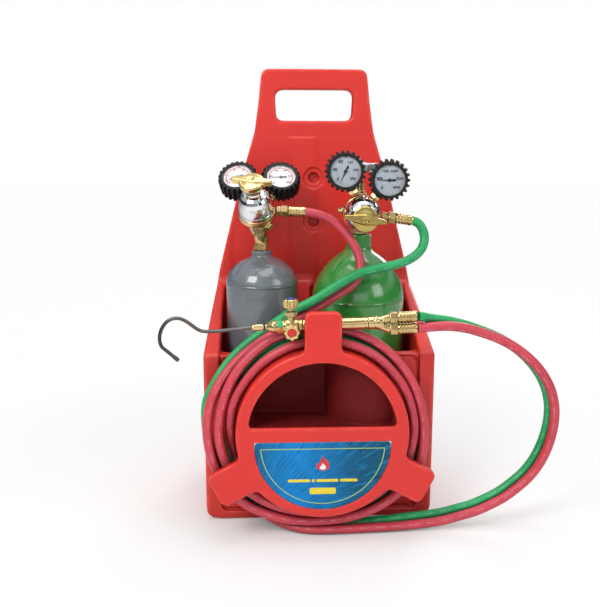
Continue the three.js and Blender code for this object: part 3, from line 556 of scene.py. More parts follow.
class Shader:
    def __init__(self, tree):
        self.tree = tree
        tree.nodes.clear()

    def put(self, socket, value):
        """Links a wire or sets a value; a colour may leave out its alpha of one."""
        if isinstance(value, Wire):
            self.tree.links.new(value.socket, socket)
        elif isinstance(value, tuple) and len(value) < len(socket.default_value):
            socket.default_value = (*value, 1.0)
        else:
            socket.default_value = value

    def node(self, kind, inputs=(), **settings):
        node = self.tree.nodes.new("ShaderNode" + kind)
        for name, value in settings.items():
            setattr(node, name, value)
        for key, value in dict(inputs).items():
            self.put(node.inputs[key], value)
        return node

    def wire(self, kind, inputs=(), output=0, **settings):
        return Wire(self, self.node(kind, inputs, **settings).outputs[output])

    def math(self, operation, *values):
        return self.wire("Math", enumerate(values), operation=operation)

    def mix(self, amount, a, b, blend="MIX"):
        return self.wire("Mix", {0: amount, 6: a, 7: b}, 2, data_type="RGBA", blend_type=blend)

    def mix_shader(self, amount, a, b):
        return self.wire("MixShader", enumerate((amount, a, b)))

    def split(self, vector):
        return [Wire(self, out) for out in self.node("SeparateXYZ", {0: vector}).outputs]

    def ramp(self, factor, stops):
        """Colour ramp through (position, colour) stops."""
        node = self.node("ValToRGB", {0: factor})
        elements = node.color_ramp.elements
        for element, (position, colour) in zip(elements, (stops[0], stops[-1])):
            element.position, element.color = position, (*colour, 1)
        for position, colour in stops[1:-1]:
            elements.new(position).color = (*colour, 1)
        return Wire(self, node.outputs[0])


class Material(Shader):
    """Material on object coordinates, whose colour is built up in layers."""
    def __init__(self, name):
        self.result = bpy.data.materials.new(name)
        self.result.use_nodes = True
        super().__init__(self.result.node_tree)
        self.output = self.node("OutputMaterial")
        self.principled = self.node("BsdfPrincipled")
        self.show(Wire(self, self.principled.outputs[0]))
        self.place = self.wire("TexCoord", output="Object")
        self.colour = self.relief = None

    def show(self, shader):
        self.put(self.output.inputs[0], shader)

    def noise(self, scale, detail=3.0, rough=0.55, place=None):
        return self.wire("TexNoise", {"Scale": scale, "Detail": detail, "Roughness": rough,
                                      "Vector": place or self.place}, "Fac")

    def streaks(self, scales, detail, rough):
        """Noise stretched by its own scale on each axis."""
        place = self.wire("Mapping", {0: self.place, "Scale": scales})
        return self.noise(scale=1.0, detail=detail, rough=rough, place=place)

    def cells(self, scale):
        return self.wire("TexVoronoi", {"Scale": scale, "Vector": self.place}, "Distance")

    def attribute(self, name):
        return self.wire("Attribute", output="Fac", attribute_name=name)

    def edges(self, low, high):
        """Rises to one on convex edges."""
        return self.wire("NewGeometry", output="Pointiness").span(low, high)

    def shade(self, distance, samples=4):
        """Low where surfaces within the distance block the light."""
        return self.wire("AmbientOcclusion", {"Distance": distance}, "AO", samples=samples)

    def xyz(self):
        return self.split(self.place)

    def layer(self, amount, colour):
        self.colour = self.mix(amount, self.colour, colour)

    def finish(self, **inputs):
        """Sets the inputs of the principled shader, with the layered colour as its base."""
        self.put(self.principled.inputs["Base Color"], self.colour)
        for key, value in inputs.items():
            self.put(self.principled.inputs[key.replace("_", " ")], value)

    def bump(self, height, strength, distance):
        """Adds relief on top of any bumps made before."""
        inputs = {"Strength": strength, "Distance": distance, "Height": height}
        if self.relief:
            inputs["Normal"] = self.relief
        self.relief = self.wire("Bump", inputs)
        for key in ("Normal", "Coat Normal"):
            self.put(self.principled.inputs[key], self.relief)


def tint(colour, gain, lift=0.0):
    return tuple(min(1, x * gain + lift) for x in colour)


# ------------------------------------------------------------------ materials
def metal(name, base, dull, rough=(0.14, 0.30), turned=True, tarnish=0.35, brush=0.25):
    """Polished metal; turned metal carries lathe grooves of strength `brush`."""
    mat = Material(name)
    cloud = mat.noise(scale=34, detail=4, rough=0.6)
    spots = mat.noise(scale=420, detail=3, rough=0.6)
    mat.colour = mat.mix(cloud.span(0.38, 0.72), base, dull)
    mat.layer(spots.span(0.55, 0.75) * tarnish, tint(dull, 0.62))
    # painted shade: darker in crevices, where nearby surfaces block the light
    mat.layer(mat.shade(distance=0.004).span(0.25, 0.85, to=(0.75, 0.0)), tint(dull, 0.35))
    mat.layer(mat.edges(0.52, 0.60) * 0.5, tint(base, 1.12))
    mat.finish(Metallic=1.0,
               Roughness=cloud.span(0.3, 0.75, to=rough) + spots.span(0.45, 0.8) * 0.12)
    mat.bump(mat.noise(scale=2600, detail=2, rough=0.5), strength=0.05, distance=0.0002)
    if turned:
        grooves = mat.wire("TexNoise", {"Scale": 2.3, "Detail": 4.0, "Roughness": 0.75,
                                        "W": mat.attribute("turn")}, "Fac",
                           noise_dimensions="1D")
        mat.bump(grooves, strength=brush, distance=0.00012)
    return mat


def red_plastic(name):
    mat = Material(name)
    mottle = mat.noise(scale=46, detail=4, rough=0.6)
    mat.colour = mat.mix(mat.noise(scale=5.5, detail=3, rough=0.5).span(0.3, 0.7),
                         (0.71, 0.027, 0.018), (0.64, 0.021, 0.015))
    mat.layer(mottle.span(0.5, 0.78) * 0.22, (0.50, 0.020, 0.016))
    # pale specks of moulding powder
    mat.layer(mat.cells(scale=620.0).span(0.06, 0.13, to=(1.0, 0.0)) * 0.30,
              (0.86, 0.12, 0.08))
    # rubbed, paler edges, and scuffs
    rubbed = mat.edges(0.505, 0.545) * mat.noise(scale=70, detail=5, rough=0.7).span(0.40, 0.66)
    mat.layer(rubbed * 0.45, (0.90, 0.17, 0.12))
    scuffs = (mat.streaks(scales=(60, 60, 900), detail=4, rough=0.65).span(0.66, 0.74)
              * mat.noise(scale=9, detail=2).span(0.5, 0.62))
    mat.layer(scuffs * 0.35, (0.88, 0.22, 0.17))
    # dirt near the floor, then painted shade in the wells and corners
    dirt = mat.xyz()[2].span(0.0, 0.05, to=(1.0, 0.0)) * mottle.span(0.42, 0.7)
    mat.layer(dirt * 0.35, (0.20, 0.035, 0.025))
    # painted shade: near and broad darkening where nearby surfaces block the light
    mat.layer(mat.shade(distance=0.03).span(0.2, 0.9, to=(0.35, 0.0)), (0.36, 0.010, 0.010))
    deep_shade = mat.shade(distance=0.075, samples=6).span(0.20, 0.72, to=(1.0, 0.0))
    mat.layer(deep_shade * 0.34, (0.190, 0.013, 0.014))
    # painted shade: the inside of the tool bin in the hub is painted darker, and made duller
    x, y, z = mat.xyz()
    up = z - HUB_Z / 1000
    radius = mat.math("SQRT", x * x + up * up)
    bin_inside_shade = (radius.span(0.0948, 0.0984, to=(1.0, 0.0)) * z.span(0.1546, 0.1564)
                  * (y.span(-0.1738, -0.1672) * y.span(-0.098, -0.092, to=(1.0, 0.0))))
    mat.layer(bin_inside_shade, mat.mix(mottle.span(0.35, 0.7),
                                  (0.150, 0.010, 0.011), (0.115, 0.009, 0.010)))
    rough = mottle.span(0.3, 0.75, to=(0.30, 0.44)) + (rubbed + scuffs) * 0.16
    mat.finish(Roughness=rough + bin_inside_shade * 0.20,
               Subsurface_Weight=0.06, Subsurface_Scale=0.004,
               Subsurface_Radius=(1.0, 0.25, 0.15),
               Specular_IOR_Level=bin_inside_shade.span(0.0, 1.0, to=(0.46, 0.10)))
    mat.bump(mat.noise(scale=22, detail=2, rough=0.45), strength=0.22, distance=0.0020)
    mat.bump(mat.noise(scale=900, detail=2, rough=0.5), strength=0.16, distance=0.00022)
    mat.bump(mat.noise(scale=2300, detail=1, rough=0.5), strength=0.10, distance=0.00012)
    return mat


def enamel(name, light, dark, weld_z, rough):
    """Cylinder paint, darker along the weld at height weld_z."""
    mat = Material(name)
    cloud = mat.noise(scale=18, detail=3, rough=0.5)
    mat.colour = mat.mix(cloud.span(0.3, 0.7), light, dark)
    scuffs = mat.streaks(scales=(240, 240, 26), detail=5, rough=0.7).span(0.685, 0.74)
    mat.layer(scuffs * 0.35, tint(light, 1.7, 0.03))
    weld = abs(mat.xyz()[2] - weld_z).span(0.0006, 0.0030, to=(1.0, 0.0))
    mat.layer(weld * 0.45, tint(dark, 0.55))
    rubbed = mat.edges(0.53, 0.60) * mat.noise(scale=120, detail=4, rough=0.7).span(0.5, 0.6)
    mat.layer(rubbed, (0.30, 0.30, 0.30))
    mat.finish(Roughness=cloud.span(0.3, 0.7, to=(rough * 0.85, rough * 1.2)) + scuffs * 0.2,
               Coat_Weight=1.0, Specular_IOR_Level=0.6,
               Coat_Roughness=mat.noise(scale=30, detail=3).span(0.35, 0.7, to=(0.03, 0.085)))
    mat.bump(mat.noise(scale=260, detail=2, rough=0.45), strength=0.14, distance=0.00045)
    mat.bump(mat.noise(scale=640, detail=2, rough=0.5), strength=0.06, distance=0.00016)
    return mat


def hose_cover(name, light, dark, ink):
    mat = Material(name)
    distance, angle = mat.attribute("along"), mat.attribute("around")
    mat.colour = mat.mix(mat.noise(scale=26, detail=3, rough=0.5).span(0.3, 0.7), light, dark)

    def dashes(period, low, high):
        phase = mat.math("FRACT", distance * (1 / period))
        return abs(phase - 0.5).span(low, high, to=(1.0, 0.0))

    # a worn line of plain dashes in groups, down one side
    line = abs(angle - 2.3).span(0.10, 0.17, to=(1.0, 0.0))
    groups = dashes(period=23.0, low=0.30, high=0.31)
    strokes = dashes(period=3.1, low=0.27, high=0.30)
    wear = mat.noise(scale=300, detail=4, rough=0.7).span(0.40, 0.62)
    mat.layer(line * groups * (strokes * wear) * 0.62, ink)
    dust = mat.noise(scale=75, detail=5, rough=0.7).span(0.50, 0.74) * 0.30
    mat.layer(dust, tint(light, 0.55, 0.10))
    # painted shade: darker where neighbouring turns and parts block the light
    mat.layer(mat.shade(distance=0.016).span(0.12, 0.78, to=(0.88, 0.0)), tint(dark, 0.22))
    rough = mat.noise(scale=60, detail=4, rough=0.6).span(0.3, 0.7, to=(0.34, 0.50))
    mat.finish(Roughness=rough + dust * 0.4, Specular_IOR_Level=0.5)
    # shallow lengthwise ribs and a light spiral imprint
    mat.bump(mat.math("SINE", angle * 34.0), strength=0.10, distance=0.00016)
    mat.bump(mat.math("SINE", distance * 2.6 + angle * 3.0), strength=0.06, distance=0.00014)
    mat.bump(mat.noise(scale=1500, detail=2, rough=0.5), strength=0.12, distance=0.00015)
    return mat


def rubber(name, dark, light):
    mat = Material(name)
    cloud = mat.noise(scale=90, detail=4, rough=0.6)
    mat.colour = mat.mix(cloud.span(0.35, 0.75), dark, light)
    worn = mat.edges(0.51, 0.58) * mat.noise(scale=260, detail=4, rough=0.7).span(0.35, 0.7)
    mat.layer(worn * 0.50, (0.060, 0.060, 0.064))
    mat.finish(Roughness=cloud.span(0.3, 0.7, to=(0.40, 0.58)), Specular_IOR_Level=0.22)
    mat.bump(mat.noise(scale=1300, detail=3, rough=0.6), strength=0.22, distance=0.00020)
    mat.bump(mat.noise(scale=180, detail=2), strength=0.10, distance=0.0004)
    return mat


def printed(name, light, dark, rough=0.45):
    mat = Material(name)
    mat.colour = mat.mix(mat.noise(scale=150, detail=3, rough=0.55).span(0.35, 0.7), light, dark)
    mat.finish(Roughness=mat.noise(scale=500, detail=3).span(
        0.3, 0.7, to=(rough - 0.08, rough + 0.08)))
    mat.bump(mat.noise(scale=2600, detail=2), strength=0.06, distance=0.00008)
    return mat


def porous_filler(name):
    mat = Material(name)
    mat.colour = mat.mix(mat.noise(scale=800, detail=4, rough=0.7).span(0.3, 0.7),
                         (0.55, 0.52, 0.46), (0.38, 0.36, 0.31))
    mat.finish(Roughness=0.95)
    mat.bump(mat.cells(scale=900.0), strength=0.6, distance=0.0008)
    return mat


def heated_tip(name):
    """Dark drawn metal with heat colours that change along X."""
    mat = metal(name, (0.155, 0.150, 0.150), (0.085, 0.083, 0.086), (0.26, 0.42), brush=0.35)
    heat = mat.xyz()[0].span(-0.208, -0.10) + (mat.noise(scale=60, detail=3) - 0.5) * 0.12
    mat.layer(0.55, mat.ramp(heat, (
        (0.0, (0.05, 0.048, 0.055)), (0.18, (0.085, 0.075, 0.12)), (0.34, (0.20, 0.135, 0.085)),
        (0.55, (0.165, 0.155, 0.150)), (1.0, (0.20, 0.195, 0.195)))))
    mat.finish()
    return mat


def clear_lens(name):
    mat = Material(name)
    mat.tree.nodes.remove(mat.principled)
    glance = mat.wire("LayerWeight", {"Blend": 0.16}, "Fresnel")
    smears = mat.noise(scale=42, detail=3, rough=0.6).span(0.35, 0.7, to=(0.02, 0.06))
    ripple = mat.wire("Bump", {"Strength": 0.05, "Distance": 0.0003,
                               "Height": mat.noise(scale=120, detail=2)})
    glossy = mat.wire("BsdfGlossy", {"Roughness": smears + 0.0, "Normal": ripple})
    clear = mat.wire("BsdfTransparent", {"Color": (0.965, 0.975, 0.98)})
    amount = mat.math("MINIMUM", glance * 0.75 + 0.03, 0.75)
    mat.show(mat.mix_shader(amount, clear, glossy))
    return mat


def label_face(name):
    """Blue that changes from left to right, with streaks fanning from the lower left."""
    mat = Material(name)
    x, _, z = mat.xyz()
    mat.colour = mat.ramp(x.span(-0.088, 0.088), (
        (0.0, (0.001, 0.095, 0.21)), (0.14, (0.002, 0.175, 0.44)), (0.32, (0.003, 0.215, 0.58)),
        (0.55, (0.002, 0.150, 0.37)), (0.78, (0.001, 0.085, 0.17)), (1.0, (0.001, 0.070, 0.125))))
    fan_x, fan_z = -0.105, 0.020
    right, up = x - fan_x, z - fan_z
    angle = mat.math("ARCTAN2", up, right)
    radius = mat.math("SQRT", right * right + up * up)

    def fan(across, outward_scale, seed):
        place = mat.wire("CombineXYZ", enumerate((angle * across, radius * outward_scale, seed)))
        return mat.noise(scale=1.0, detail=4, rough=0.62, place=place)

    mat.layer(fan(across=46, outward_scale=26, seed=1.0).span(0.50, 0.66) * 0.50,
              (0.004, 0.27, 0.64))
    mat.layer(fan(across=70, outward_scale=34, seed=5.0).span(0.52, 0.64) * 0.70,
              (0.001, 0.030, 0.085))
    mat.layer(fan(across=110, outward_scale=60, seed=9.0).span(0.60, 0.68)
              * z.span(0.10, 0.142) * 0.75, (0.05, 0.42, 0.78))
    mat.finish(Roughness=mat.noise(scale=240, detail=3).span(0.3, 0.7, to=(0.26, 0.40)),
               Coat_Weight=0.12, Coat_Roughness=0.10, Specular_IOR_Level=0.15)
    mat.bump(mat.noise(scale=800, detail=2), strength=0.05, distance=0.0001)
    mat.bump(mat.noise(scale=30, detail=2), strength=0.12, distance=0.0008)
    return mat


MATERIALS = {
    "red": red_plastic("carrier_red_moulded"),
    "grey": enamel("enamel_grey", (0.150, 0.176, 0.196), (0.118, 0.142, 0.160),
                   weld_z=0.3180, rough=0.34),
    "green": enamel("enamel_green", (0.038, 0.300, 0.045), (0.022, 0.230, 0.034),
                    weld_z=0.2960, rough=0.26),
    "brass": metal("brass_polished", (0.80, 0.605, 0.30), (0.50, 0.345, 0.135),
                   rough=(0.09, 0.20)),
    "brass_cast": metal("brass_cast_polished", (0.78, 0.59, 0.29), (0.46, 0.315, 0.12),
                        rough=(0.13, 0.26), turned=False),
    "knob": metal("knob_pale_gold", (0.88, 0.70, 0.33), (0.66, 0.48, 0.18),
                  rough=(0.12, 0.24), turned=False),
    "knob_olive": metal("knob_olive_gold", (0.54, 0.415, 0.135), (0.34, 0.25, 0.066),
                        rough=(0.14, 0.28), turned=False),
    "chrome": metal("chrome_bright", (0.80, 0.81, 0.83), (0.66, 0.67, 0.69),
                    rough=(0.035, 0.10), tarnish=0.12, brush=0.10),
    "steel": metal("steel_plain", (0.50, 0.51, 0.53), (0.34, 0.35, 0.36), rough=(0.24, 0.40)),
    "alloy": metal("alloy_cast_satin", (0.66, 0.67, 0.69), (0.50, 0.51, 0.52),
                   rough=(0.28, 0.44), turned=False),
    "rubber": rubber("rubber_black", (0.0065, 0.0068, 0.0075), (0.017, 0.0175, 0.0185)),
    "diaphragm": rubber("rubber_diaphragm", (0.030, 0.030, 0.032), (0.045, 0.044, 0.046)),
    "hose_red": hose_cover("hose_cover_red", (0.63, 0.058, 0.088), (0.50, 0.040, 0.064),
                           ink=(0.82, 0.56, 0.56)),
    "hose_green": hose_cover("hose_cover_green", (0.012, 0.40, 0.125), (0.008, 0.30, 0.090),
                             ink=(0.45, 0.85, 0.60)),
}
# Printed and painted plastics: key, name, light colour, dark colour, roughness
for key, name, light, dark, rough in (
    ("dial_white", "dial_face_white", (0.86, 0.85, 0.86), (0.80, 0.79, 0.80), 0.45),
    ("dial_blue", "dial_face_pale_blue", (0.58, 0.645, 0.695), (0.51, 0.58, 0.635), 0.45),
    ("ink_black", "dial_ink_black", (0.012, 0.012, 0.014), (0.030, 0.030, 0.034), 0.45),
    ("ink_red", "dial_ink_red", (0.70, 0.030, 0.060), (0.60, 0.022, 0.050), 0.45),
    ("needle", "needle_black", (0.010, 0.010, 0.011), (0.024, 0.024, 0.026), 0.34),
    ("cap_red", "cap_red", (0.62, 0.020, 0.018), (0.50, 0.014, 0.014), 0.34),
    ("cap_blue", "cap_blue", (0.020, 0.10, 0.42), (0.014, 0.07, 0.33), 0.34),
    ("ring_green", "ring_green", (0.02, 0.42, 0.16), (0.015, 0.34, 0.12), 0.4),
    ("ring_orange", "ring_orange", (0.75, 0.20, 0.03), (0.62, 0.14, 0.02), 0.4),
    ("label_bar", "label_yellow", (0.80, 0.66, 0.03), (0.72, 0.57, 0.02), 0.3),
    ("label_mark", "label_mark_red", (0.66, 0.03, 0.03), (0.54, 0.02, 0.02), 0.3),
    ("label_white", "label_white", (0.82, 0.83, 0.84), (0.76, 0.77, 0.78), 0.3),
    ("label_line", "label_line_lime", (0.42, 0.60, 0.10), (0.34, 0.50, 0.08), 0.3),
):
    MATERIALS[key] = printed(name, light, dark, rough)
MATERIALS["filler"] = porous_filler("porous_mass")
MATERIALS["tip"] = heated_tip("tip_steel_drawn")
MATERIALS["lens"] = clear_lens("lens_clear")
MATERIALS["label"] = label_face("label_face")

# ------------------------------------------------------------------ carrier
# Each outline shapes the body in one plane and runs past it in the other two, so that
# blending the three does not shrink it. Points are (across, up[, corner radius]).
SIDE = rounded([
    (FRONT_Y, -25), (BACK_Y, -25), (BACK_Y, TOP_Z + 25), (PANEL_Y, TOP_Z + 25),
    (PANEL_Y, 307, 16), (FRONT_Y, 235.5, 5)], 4)
FRONT = rounded([
    (-40, 0), (FRONT_HALF_WIDTH + 7, 0, 30), (FRONT_HALF_WIDTH + 7, 236, 10), (148.3, 307, 22),
    (116, 436, 60), (100.5, 492, 22), (88.5, 532, 32), (82.5, 575, 42), (77.5, TOP_Z, 13),
    (-40, TOP_Z)], 4)
PLAN = [(-40, FRONT_Y - 25), (FRONT_HALF_WIDTH + 1.22, FRONT_Y - 25),
        (BACK_HALF_WIDTH - 1.22, BACK_Y + 25), (-40, BACK_Y + 25)]
HAND_SLOT = rounded([(-56, 547.5, 11), (56, 547.5, 11), (58.5, 592.5, 13), (-58.5, 592.5, 13)], 4)


def carrier(x, y, z):
    side = np.abs(x)
    body = meet(meet(polygon(SIDE, y, z), polygon(FRONT, side, z), 3.4),
                polygon(PLAN, side, y), 6.0)
    for left, right in ((-BAY_HALF_WIDTH, -26.5), (-7, BAY_HALF_WIDTH)):    # cylinder bays
        body = carve(body, meet(rectangle(x, y, left, right, -76, 75, 18), 20 - z, 12), 4.5)
    # the front wall stands lower than the side walls and is set back from them
    gap = meet(meet(side - BAY_HALF_WIDTH, 234 - z, 3.0), np.maximum(-112 - y, y + 60), 3.0)
    body = carve(body, gap, 4.0)
    recess = rectangle(x, z, -BAY_HALF_WIDTH, BAY_HALF_WIDTH, 12, 300, 9)
    body = carve(body, meet(recess, y + 96, 0.5), 1.0)
    groove = np.abs(rectangle(x, z, -134.0, 134.0, 13.5, 231.0, 11)) - 1.2
    body = carve(body, meet(groove, y + 94.6, 0.5), 0.9)
    # hand slot, the shallow field round it, and two stepped dimples below
    body = carve(body, polygon(HAND_SLOT, x, z), 5.5)
    field = meet(side - (83 - 0.06 * (z - 520)), slab(z, 586, 62), 10)
    field = meet(field, y - (PANEL_Y + 1.6), 1.0)
    body = carve(body, carve(field, y - (PANEL_Y - 6), 0.5), 1.5)
    for dimple_z in (463.3, 397.1):
        rho = length(x + 0.8, z - dimple_z)
        body = carve(body, meet(rho - 15.4, y - (PANEL_Y + 3.0), 0.8), 1.6)
        body = carve(body, meet(rho - (8.6 - 0.12 * (y - PANEL_Y)), y - (PANEL_Y + 10.5), 1.6),
                     1.4)
    # shallow hollows in the back and under the base
    body = carve(body, meet(rectangle(x, z, -112, 112, 40, 268, 22), (BACK_Y - 1.8) - y, 0.8),
                 1.5)
    return carve(body, meet(rectangle(x, y, -118, 118, -62, 68, 20), z - 3.0, 1.0), 1.6)


solid_piece("carrier_shell_moulding", carrier, (-158.5, -101, -1), (158.5, 106, 623), 2.0,
            "red", "carrier_shell")


# ------------------------------------------------------------------ hose hub
HUB_LUGS = ((90, 161.8), (208.5, 158.2), (331.5, 157.4))      # angle in degrees, outer radius


def hub(x, y, world_z):
    z = world_z - HUB_Z
    rho = length(x, z)
    plan = rho - 111.7
    for degrees, reach in HUB_LUGS:
        a = math.radians(degrees - 90)
        lug_x = x * math.cos(a) + z * math.sin(a)
        lug_z = -x * math.sin(a) + z * math.cos(a)
        plan = join(plan, rectangle(lug_x, lug_z, -47.0 / 2, 47.0 / 2, 60, reach, 9), 7.0)
    body = meet(plan, slab(y, -169, 6), 2.6)
    flare = 107 + 4.0 * np.exp(-np.abs(y + 96.3) / 3.0)
    body = join(body, np.maximum(rho - flare, np.maximum(-174 - y, y + 96.3)), 3.0)
    crown = meet(meet(rho - 112.2, -45 - z, 2.0), np.maximum(-170 - y, y + 96.3), 1.0)
    body = join(body, crown, 1.0)
    # tool bin: an arched mouth over a flat shelf, with a round wall bulging into its right half
    shelf = SHELF_Z - HUB_Z
    tool_bin = meet(meet(rho - 96.6, shelf - z, 9.0), y + 105, 3.0)
    tool_bin = meet(tool_bin, 57 - length(x - 64, y + 105), 2.0)
    body = carve(body, tool_bin, 2.6)
    # rounded bead along the front of the shelf
    bead = meet(length(y + 172.6, z - (shelf - 1.4)) - 3.0, np.abs(x) - 91, 2.0)
    body = join(body, bead, 2.5)
    seat = meet(length(x, z + LABEL_DROP) - 88.6, z + LABEL_DROP - 4.3, 0.6)
    body = carve(body, meet(seat, y + 174, 0.2), 0.5)
    hollow = meet(meet(rho - 101, z - 2, 2.0), -169 - y, 2.0)
    return carve(body, hollow)


solid_piece("hose_hub_moulding", hub, (-156, -176, 33), (156, -95.5, 312.5), 1.45,
            "red", "hose_hub")


# ------------------------------------------------------------------ label on the hub
def half_disc(radius, top, corner):
    """Lower part of a disc, cut off `top` above its centre; corner rounds both ends."""
    tilt = math.asin(top / radius)
    points = []
    for i in range(73):
        a = math.pi - tilt + (math.pi + 2 * tilt) * i / 72
        points.append((radius * math.cos(a), radius * math.sin(a)))
    if corner > 2:      # make room for a large corner
        points = [points[0]] + points[3:-3] + [points[-1]]
    points[0] += (corner,)
    points[-1] += (corner,)
    return [(x, z + LABEL_Z) for x, z in rounded(points, 5)]


def line_loop(outer, inner, front, back):
    """Flat band between two loops of equally many points."""
    verts = [(x, y, z) for loop in (outer, inner) for y in (front, back) for x, z in loop]
    n = len(outer)
    faces = []
    for k in range(n):
        j = (k + 1) % n
        faces += [[k, j, 2 * n + j, 2 * n + k], [n + k, 3 * n + k, 3 * n + j, n + j],
                  [k, n + k, n + j, j], [2 * n + k, 2 * n + j, 3 * n + j, 3 * n + k]]
    return outward(verts, faces)


def label():
    def mark(name, shapes, material):
        piece(name, shapes, material, "label_plate", extra=True)

    mark("label_backing", prism(half_disc(88.05, 3.75, corner=1.0),
                                LABEL_Y + 0.30, LABEL_Y + 0.85, 0.1), "label_white")
    piece("label_face", prism(half_disc(88.0, 3.65, corner=5.2),
                              LABEL_Y + 0.08, LABEL_Y + 0.75, 0.15), "label", "label_plate")
    front, back = LABEL_Y - 0.02, LABEL_Y + 0.14
    outer = np.array(half_disc(80.4, -4.6, corner=1.2))
    mark("label_border_line", line_loop(outer, outer - mitres(outer), front, back),
         "label_line")

    def flame(points, corner):
        outline = rounded([(x, z, corner) for x, z in points], 3)
        return [(x * 0.92, z * 0.82 + HUB_Z - 46.0) for x, z in outline]

    mark("label_flame_mark", prism(flame([
        (0, 24), (2.5, 20.5), (7.2, 15.2), (9.6, 9.5), (9.0, 4.2), (5.6, 0.6), (0, -0.6),
        (-5.6, 0.6), (-9.0, 4.2), (-9.4, 9.0), (-6.8, 13.0), (-4.6, 10.8), (-3.2, 16.0)],
        3.0), front, back, 0.05, 1), "label_mark")
    mark("label_flame_core", prism(flame([
        (0, 12.5), (2.6, 8.8), (4.6, 5.6), (4.2, 2.4), (0, 1.0), (-4.2, 2.4), (-4.5, 5.4),
        (-2.2, 8.2)], 2.0), front - 0.06, back, 0.04, 1), "label_white")
    bars = []
    # left, right, bottom, top, corner radius, corner steps
    for x0, x1, z0, z1, r, steps in (
            (-45, -16.5, 85.2, 89.0, 0.9, 4), (-14.2, -10.6, 85.2, 89.0, 0.9, 4),
            (-8.3, 20.0, 85.2, 89.0, 0.9, 4), (22.6, 45, 85.2, 89.0, 0.9, 4),
            (-17, 17, 68.4, 77.2, 2.6, 5)):
        outline = rounded([(x0, z0, r), (x1, z0, r), (x1, z1, r), (x0, z1, r)], steps)
        bars.append(prism(outline, front, back, 0.05, 1))
    mark("label_plain_bars", bars, "label_bar")


label()


# ------------------------------------------------------------------ cylinders
def acetylene_cylinder():
    base, r = CYLINDER_BASE_Z, 51.0
    place = pose(origin=(ACETYLENE_X, CYLINDER_Y, 0))
    # (radius, z[, corner radius]): foot, wall with weld bead, dome, neck, then the inside
    shell = [
        (0, base + 5), (36, base + 3.2), (41, base, 1.5), (47, base, 2.5), (r, base + 6, 3),
        (r, 316.2, 0.4), (r + 0.45, 317.0, 0.5), (r + 0.45, 318.6, 0.5), (r, 319.6, 0.4),
        (r - 0.1, 321.5), (r - 0.9, 325.0), (r - 2.4, 329.0), (r - 5.0, 334.2),
        (r - 8.6, 339.0), (r - 13.2, 343.8), (r - 18.6, 348.0), (r - 24.4, 351.3),
        (r - 30.2, 353.9), (16.4, 355.6), (14.9, 356.6), (14.3, 358.2),
        (14.3, 364.0, 1.0), (13.2, 365.0, 0.3), (9.1, 365.0, 0.3), (9.1, 352.5),
        (r - 21, 346.5), (r - 10, 337.5), (r - 2.5, 318), (r - 2.5, base + 8.5),
        (0, base + 8.5)]
    piece("acetylene_cylinder_shell", lathe(soften(shell, 2.0, 4), 128), "grey",
          "acetylene_cylinder", place)
    filler = [(0, base + 9.3), (r - 3.4, base + 9.3, 2), (r - 3.4, 316), (r - 12, 335),
              (r - 23, 344), (0, 347.5)]
    piece("acetylene_porous_filler", lathe(soften(filler, 2.0, 4), 96), "filler",
          "acetylene_porous_mass", place)


def oxygen_cylinder():
    base, r = CYLINDER_BASE_Z, 66.0
    shell = [
        (0, base + 8), (44, base, 3), (56, base, 5), (r, base + 10, 6),
        (r, 294.0, 0.4), (r + 0.5, 295.0, 0.5), (r + 0.5, 297.0, 0.5), (r, 298.0, 0.4),
        (r - 0.15, 300.5), (r - 0.7, 305.0), (r - 2.0, 311.0), (r - 4.2, 317.8),
        (r - 7.4, 325.0), (r - 11.6, 332.2), (r - 16.8, 339.4), (r - 22.8, 346.2),
        (r - 29.2, 352.4), (r - 36.0, 358.0), (r - 41.5, 361.8), (20.8, 364.6),
        (18.8, 367.2), (18.1, 370.5), (18.1, 386.6, 1.0), (16.9, 388.0, 0.3),
        (9.4, 388.0, 0.3), (9.4, 362), (r - 32, 351.5), (r - 14, 328), (r - 4, 296),
        (r - 4, base + 13), (0, base + 14)]
    piece("oxygen_cylinder_shell", lathe(soften(shell, 3.0, 4), 144), "green",
          "oxygen_cylinder", pose(origin=(OXYGEN_X, CYLINDER_Y, 0)))


acetylene_cylinder()
oxygen_cylinder()

# ------------------------------------------------------------------ cylinder valves
ACETYLENE_VALVE = vec(ACETYLENE_X, CYLINDER_Y, 383.0)
OXYGEN_VALVE = vec(OXYGEN_X, CYLINDER_Y, 423.2)
ACETYLENE_OUTLET = unit((-0.119, -0.584, 0.803))        # from the valve to its regulator
OXYGEN_OUTLET = unit((-0.02, -0.9985, -0.05))
SPINDLE_AXIS = unit((0.05, 0.766, 0.643))


def outlet_bore(x, y, z, valve, direction):
    return rod(x, y, z, along(valve, direction, 8), along(valve, direction, 40), 3, 0.1)


def acetylene_valve(x, y, z):
    valve, outlet, spindle = ACETYLENE_VALVE, ACETYLENE_OUTLET, SPINDLE_AXIS
    body = parts(x, y, z, stack((
        (hexagon, 365.3, 373.0, 20, 0.4, 0),
        (rod, 353, 366, 8.6, 0.5, 0),
        (rod, 372.0, 385.0, 9.0, 2.0, 1.2)), ACETYLENE_X, CYLINDER_Y))
    from_valve = (x - valve[0], y - valve[1], z - valve[2])
    body = join(body, length(*from_valve) - 10.3, 1.5)
    body = parts(x, y, z, (
        (rod, valve, along(valve, outlet, 23), 9.7, 0.8, 1.5),
        (rod, valve, along(valve, spindle, 16.6), 7.6, 0.8, 1.5),
        (hexagon, along(valve, spindle, 9.4), along(valve, spindle, 14.6), 15.6, 0.3, 0)), body)
    # two turned grooves round the outlet
    wall = rod(x, y, z, valve, along(valve, outlet, 60), 9.8, 0.1)
    for t in (14.5, 18.5):
        offset = sum(v * d for v, d in zip(from_valve, outlet)) - t
        body = carve(body, length(wall, offset) - 0.7, 0.3)
    return carve(body, outlet_bore(x, y, z, valve, outlet))


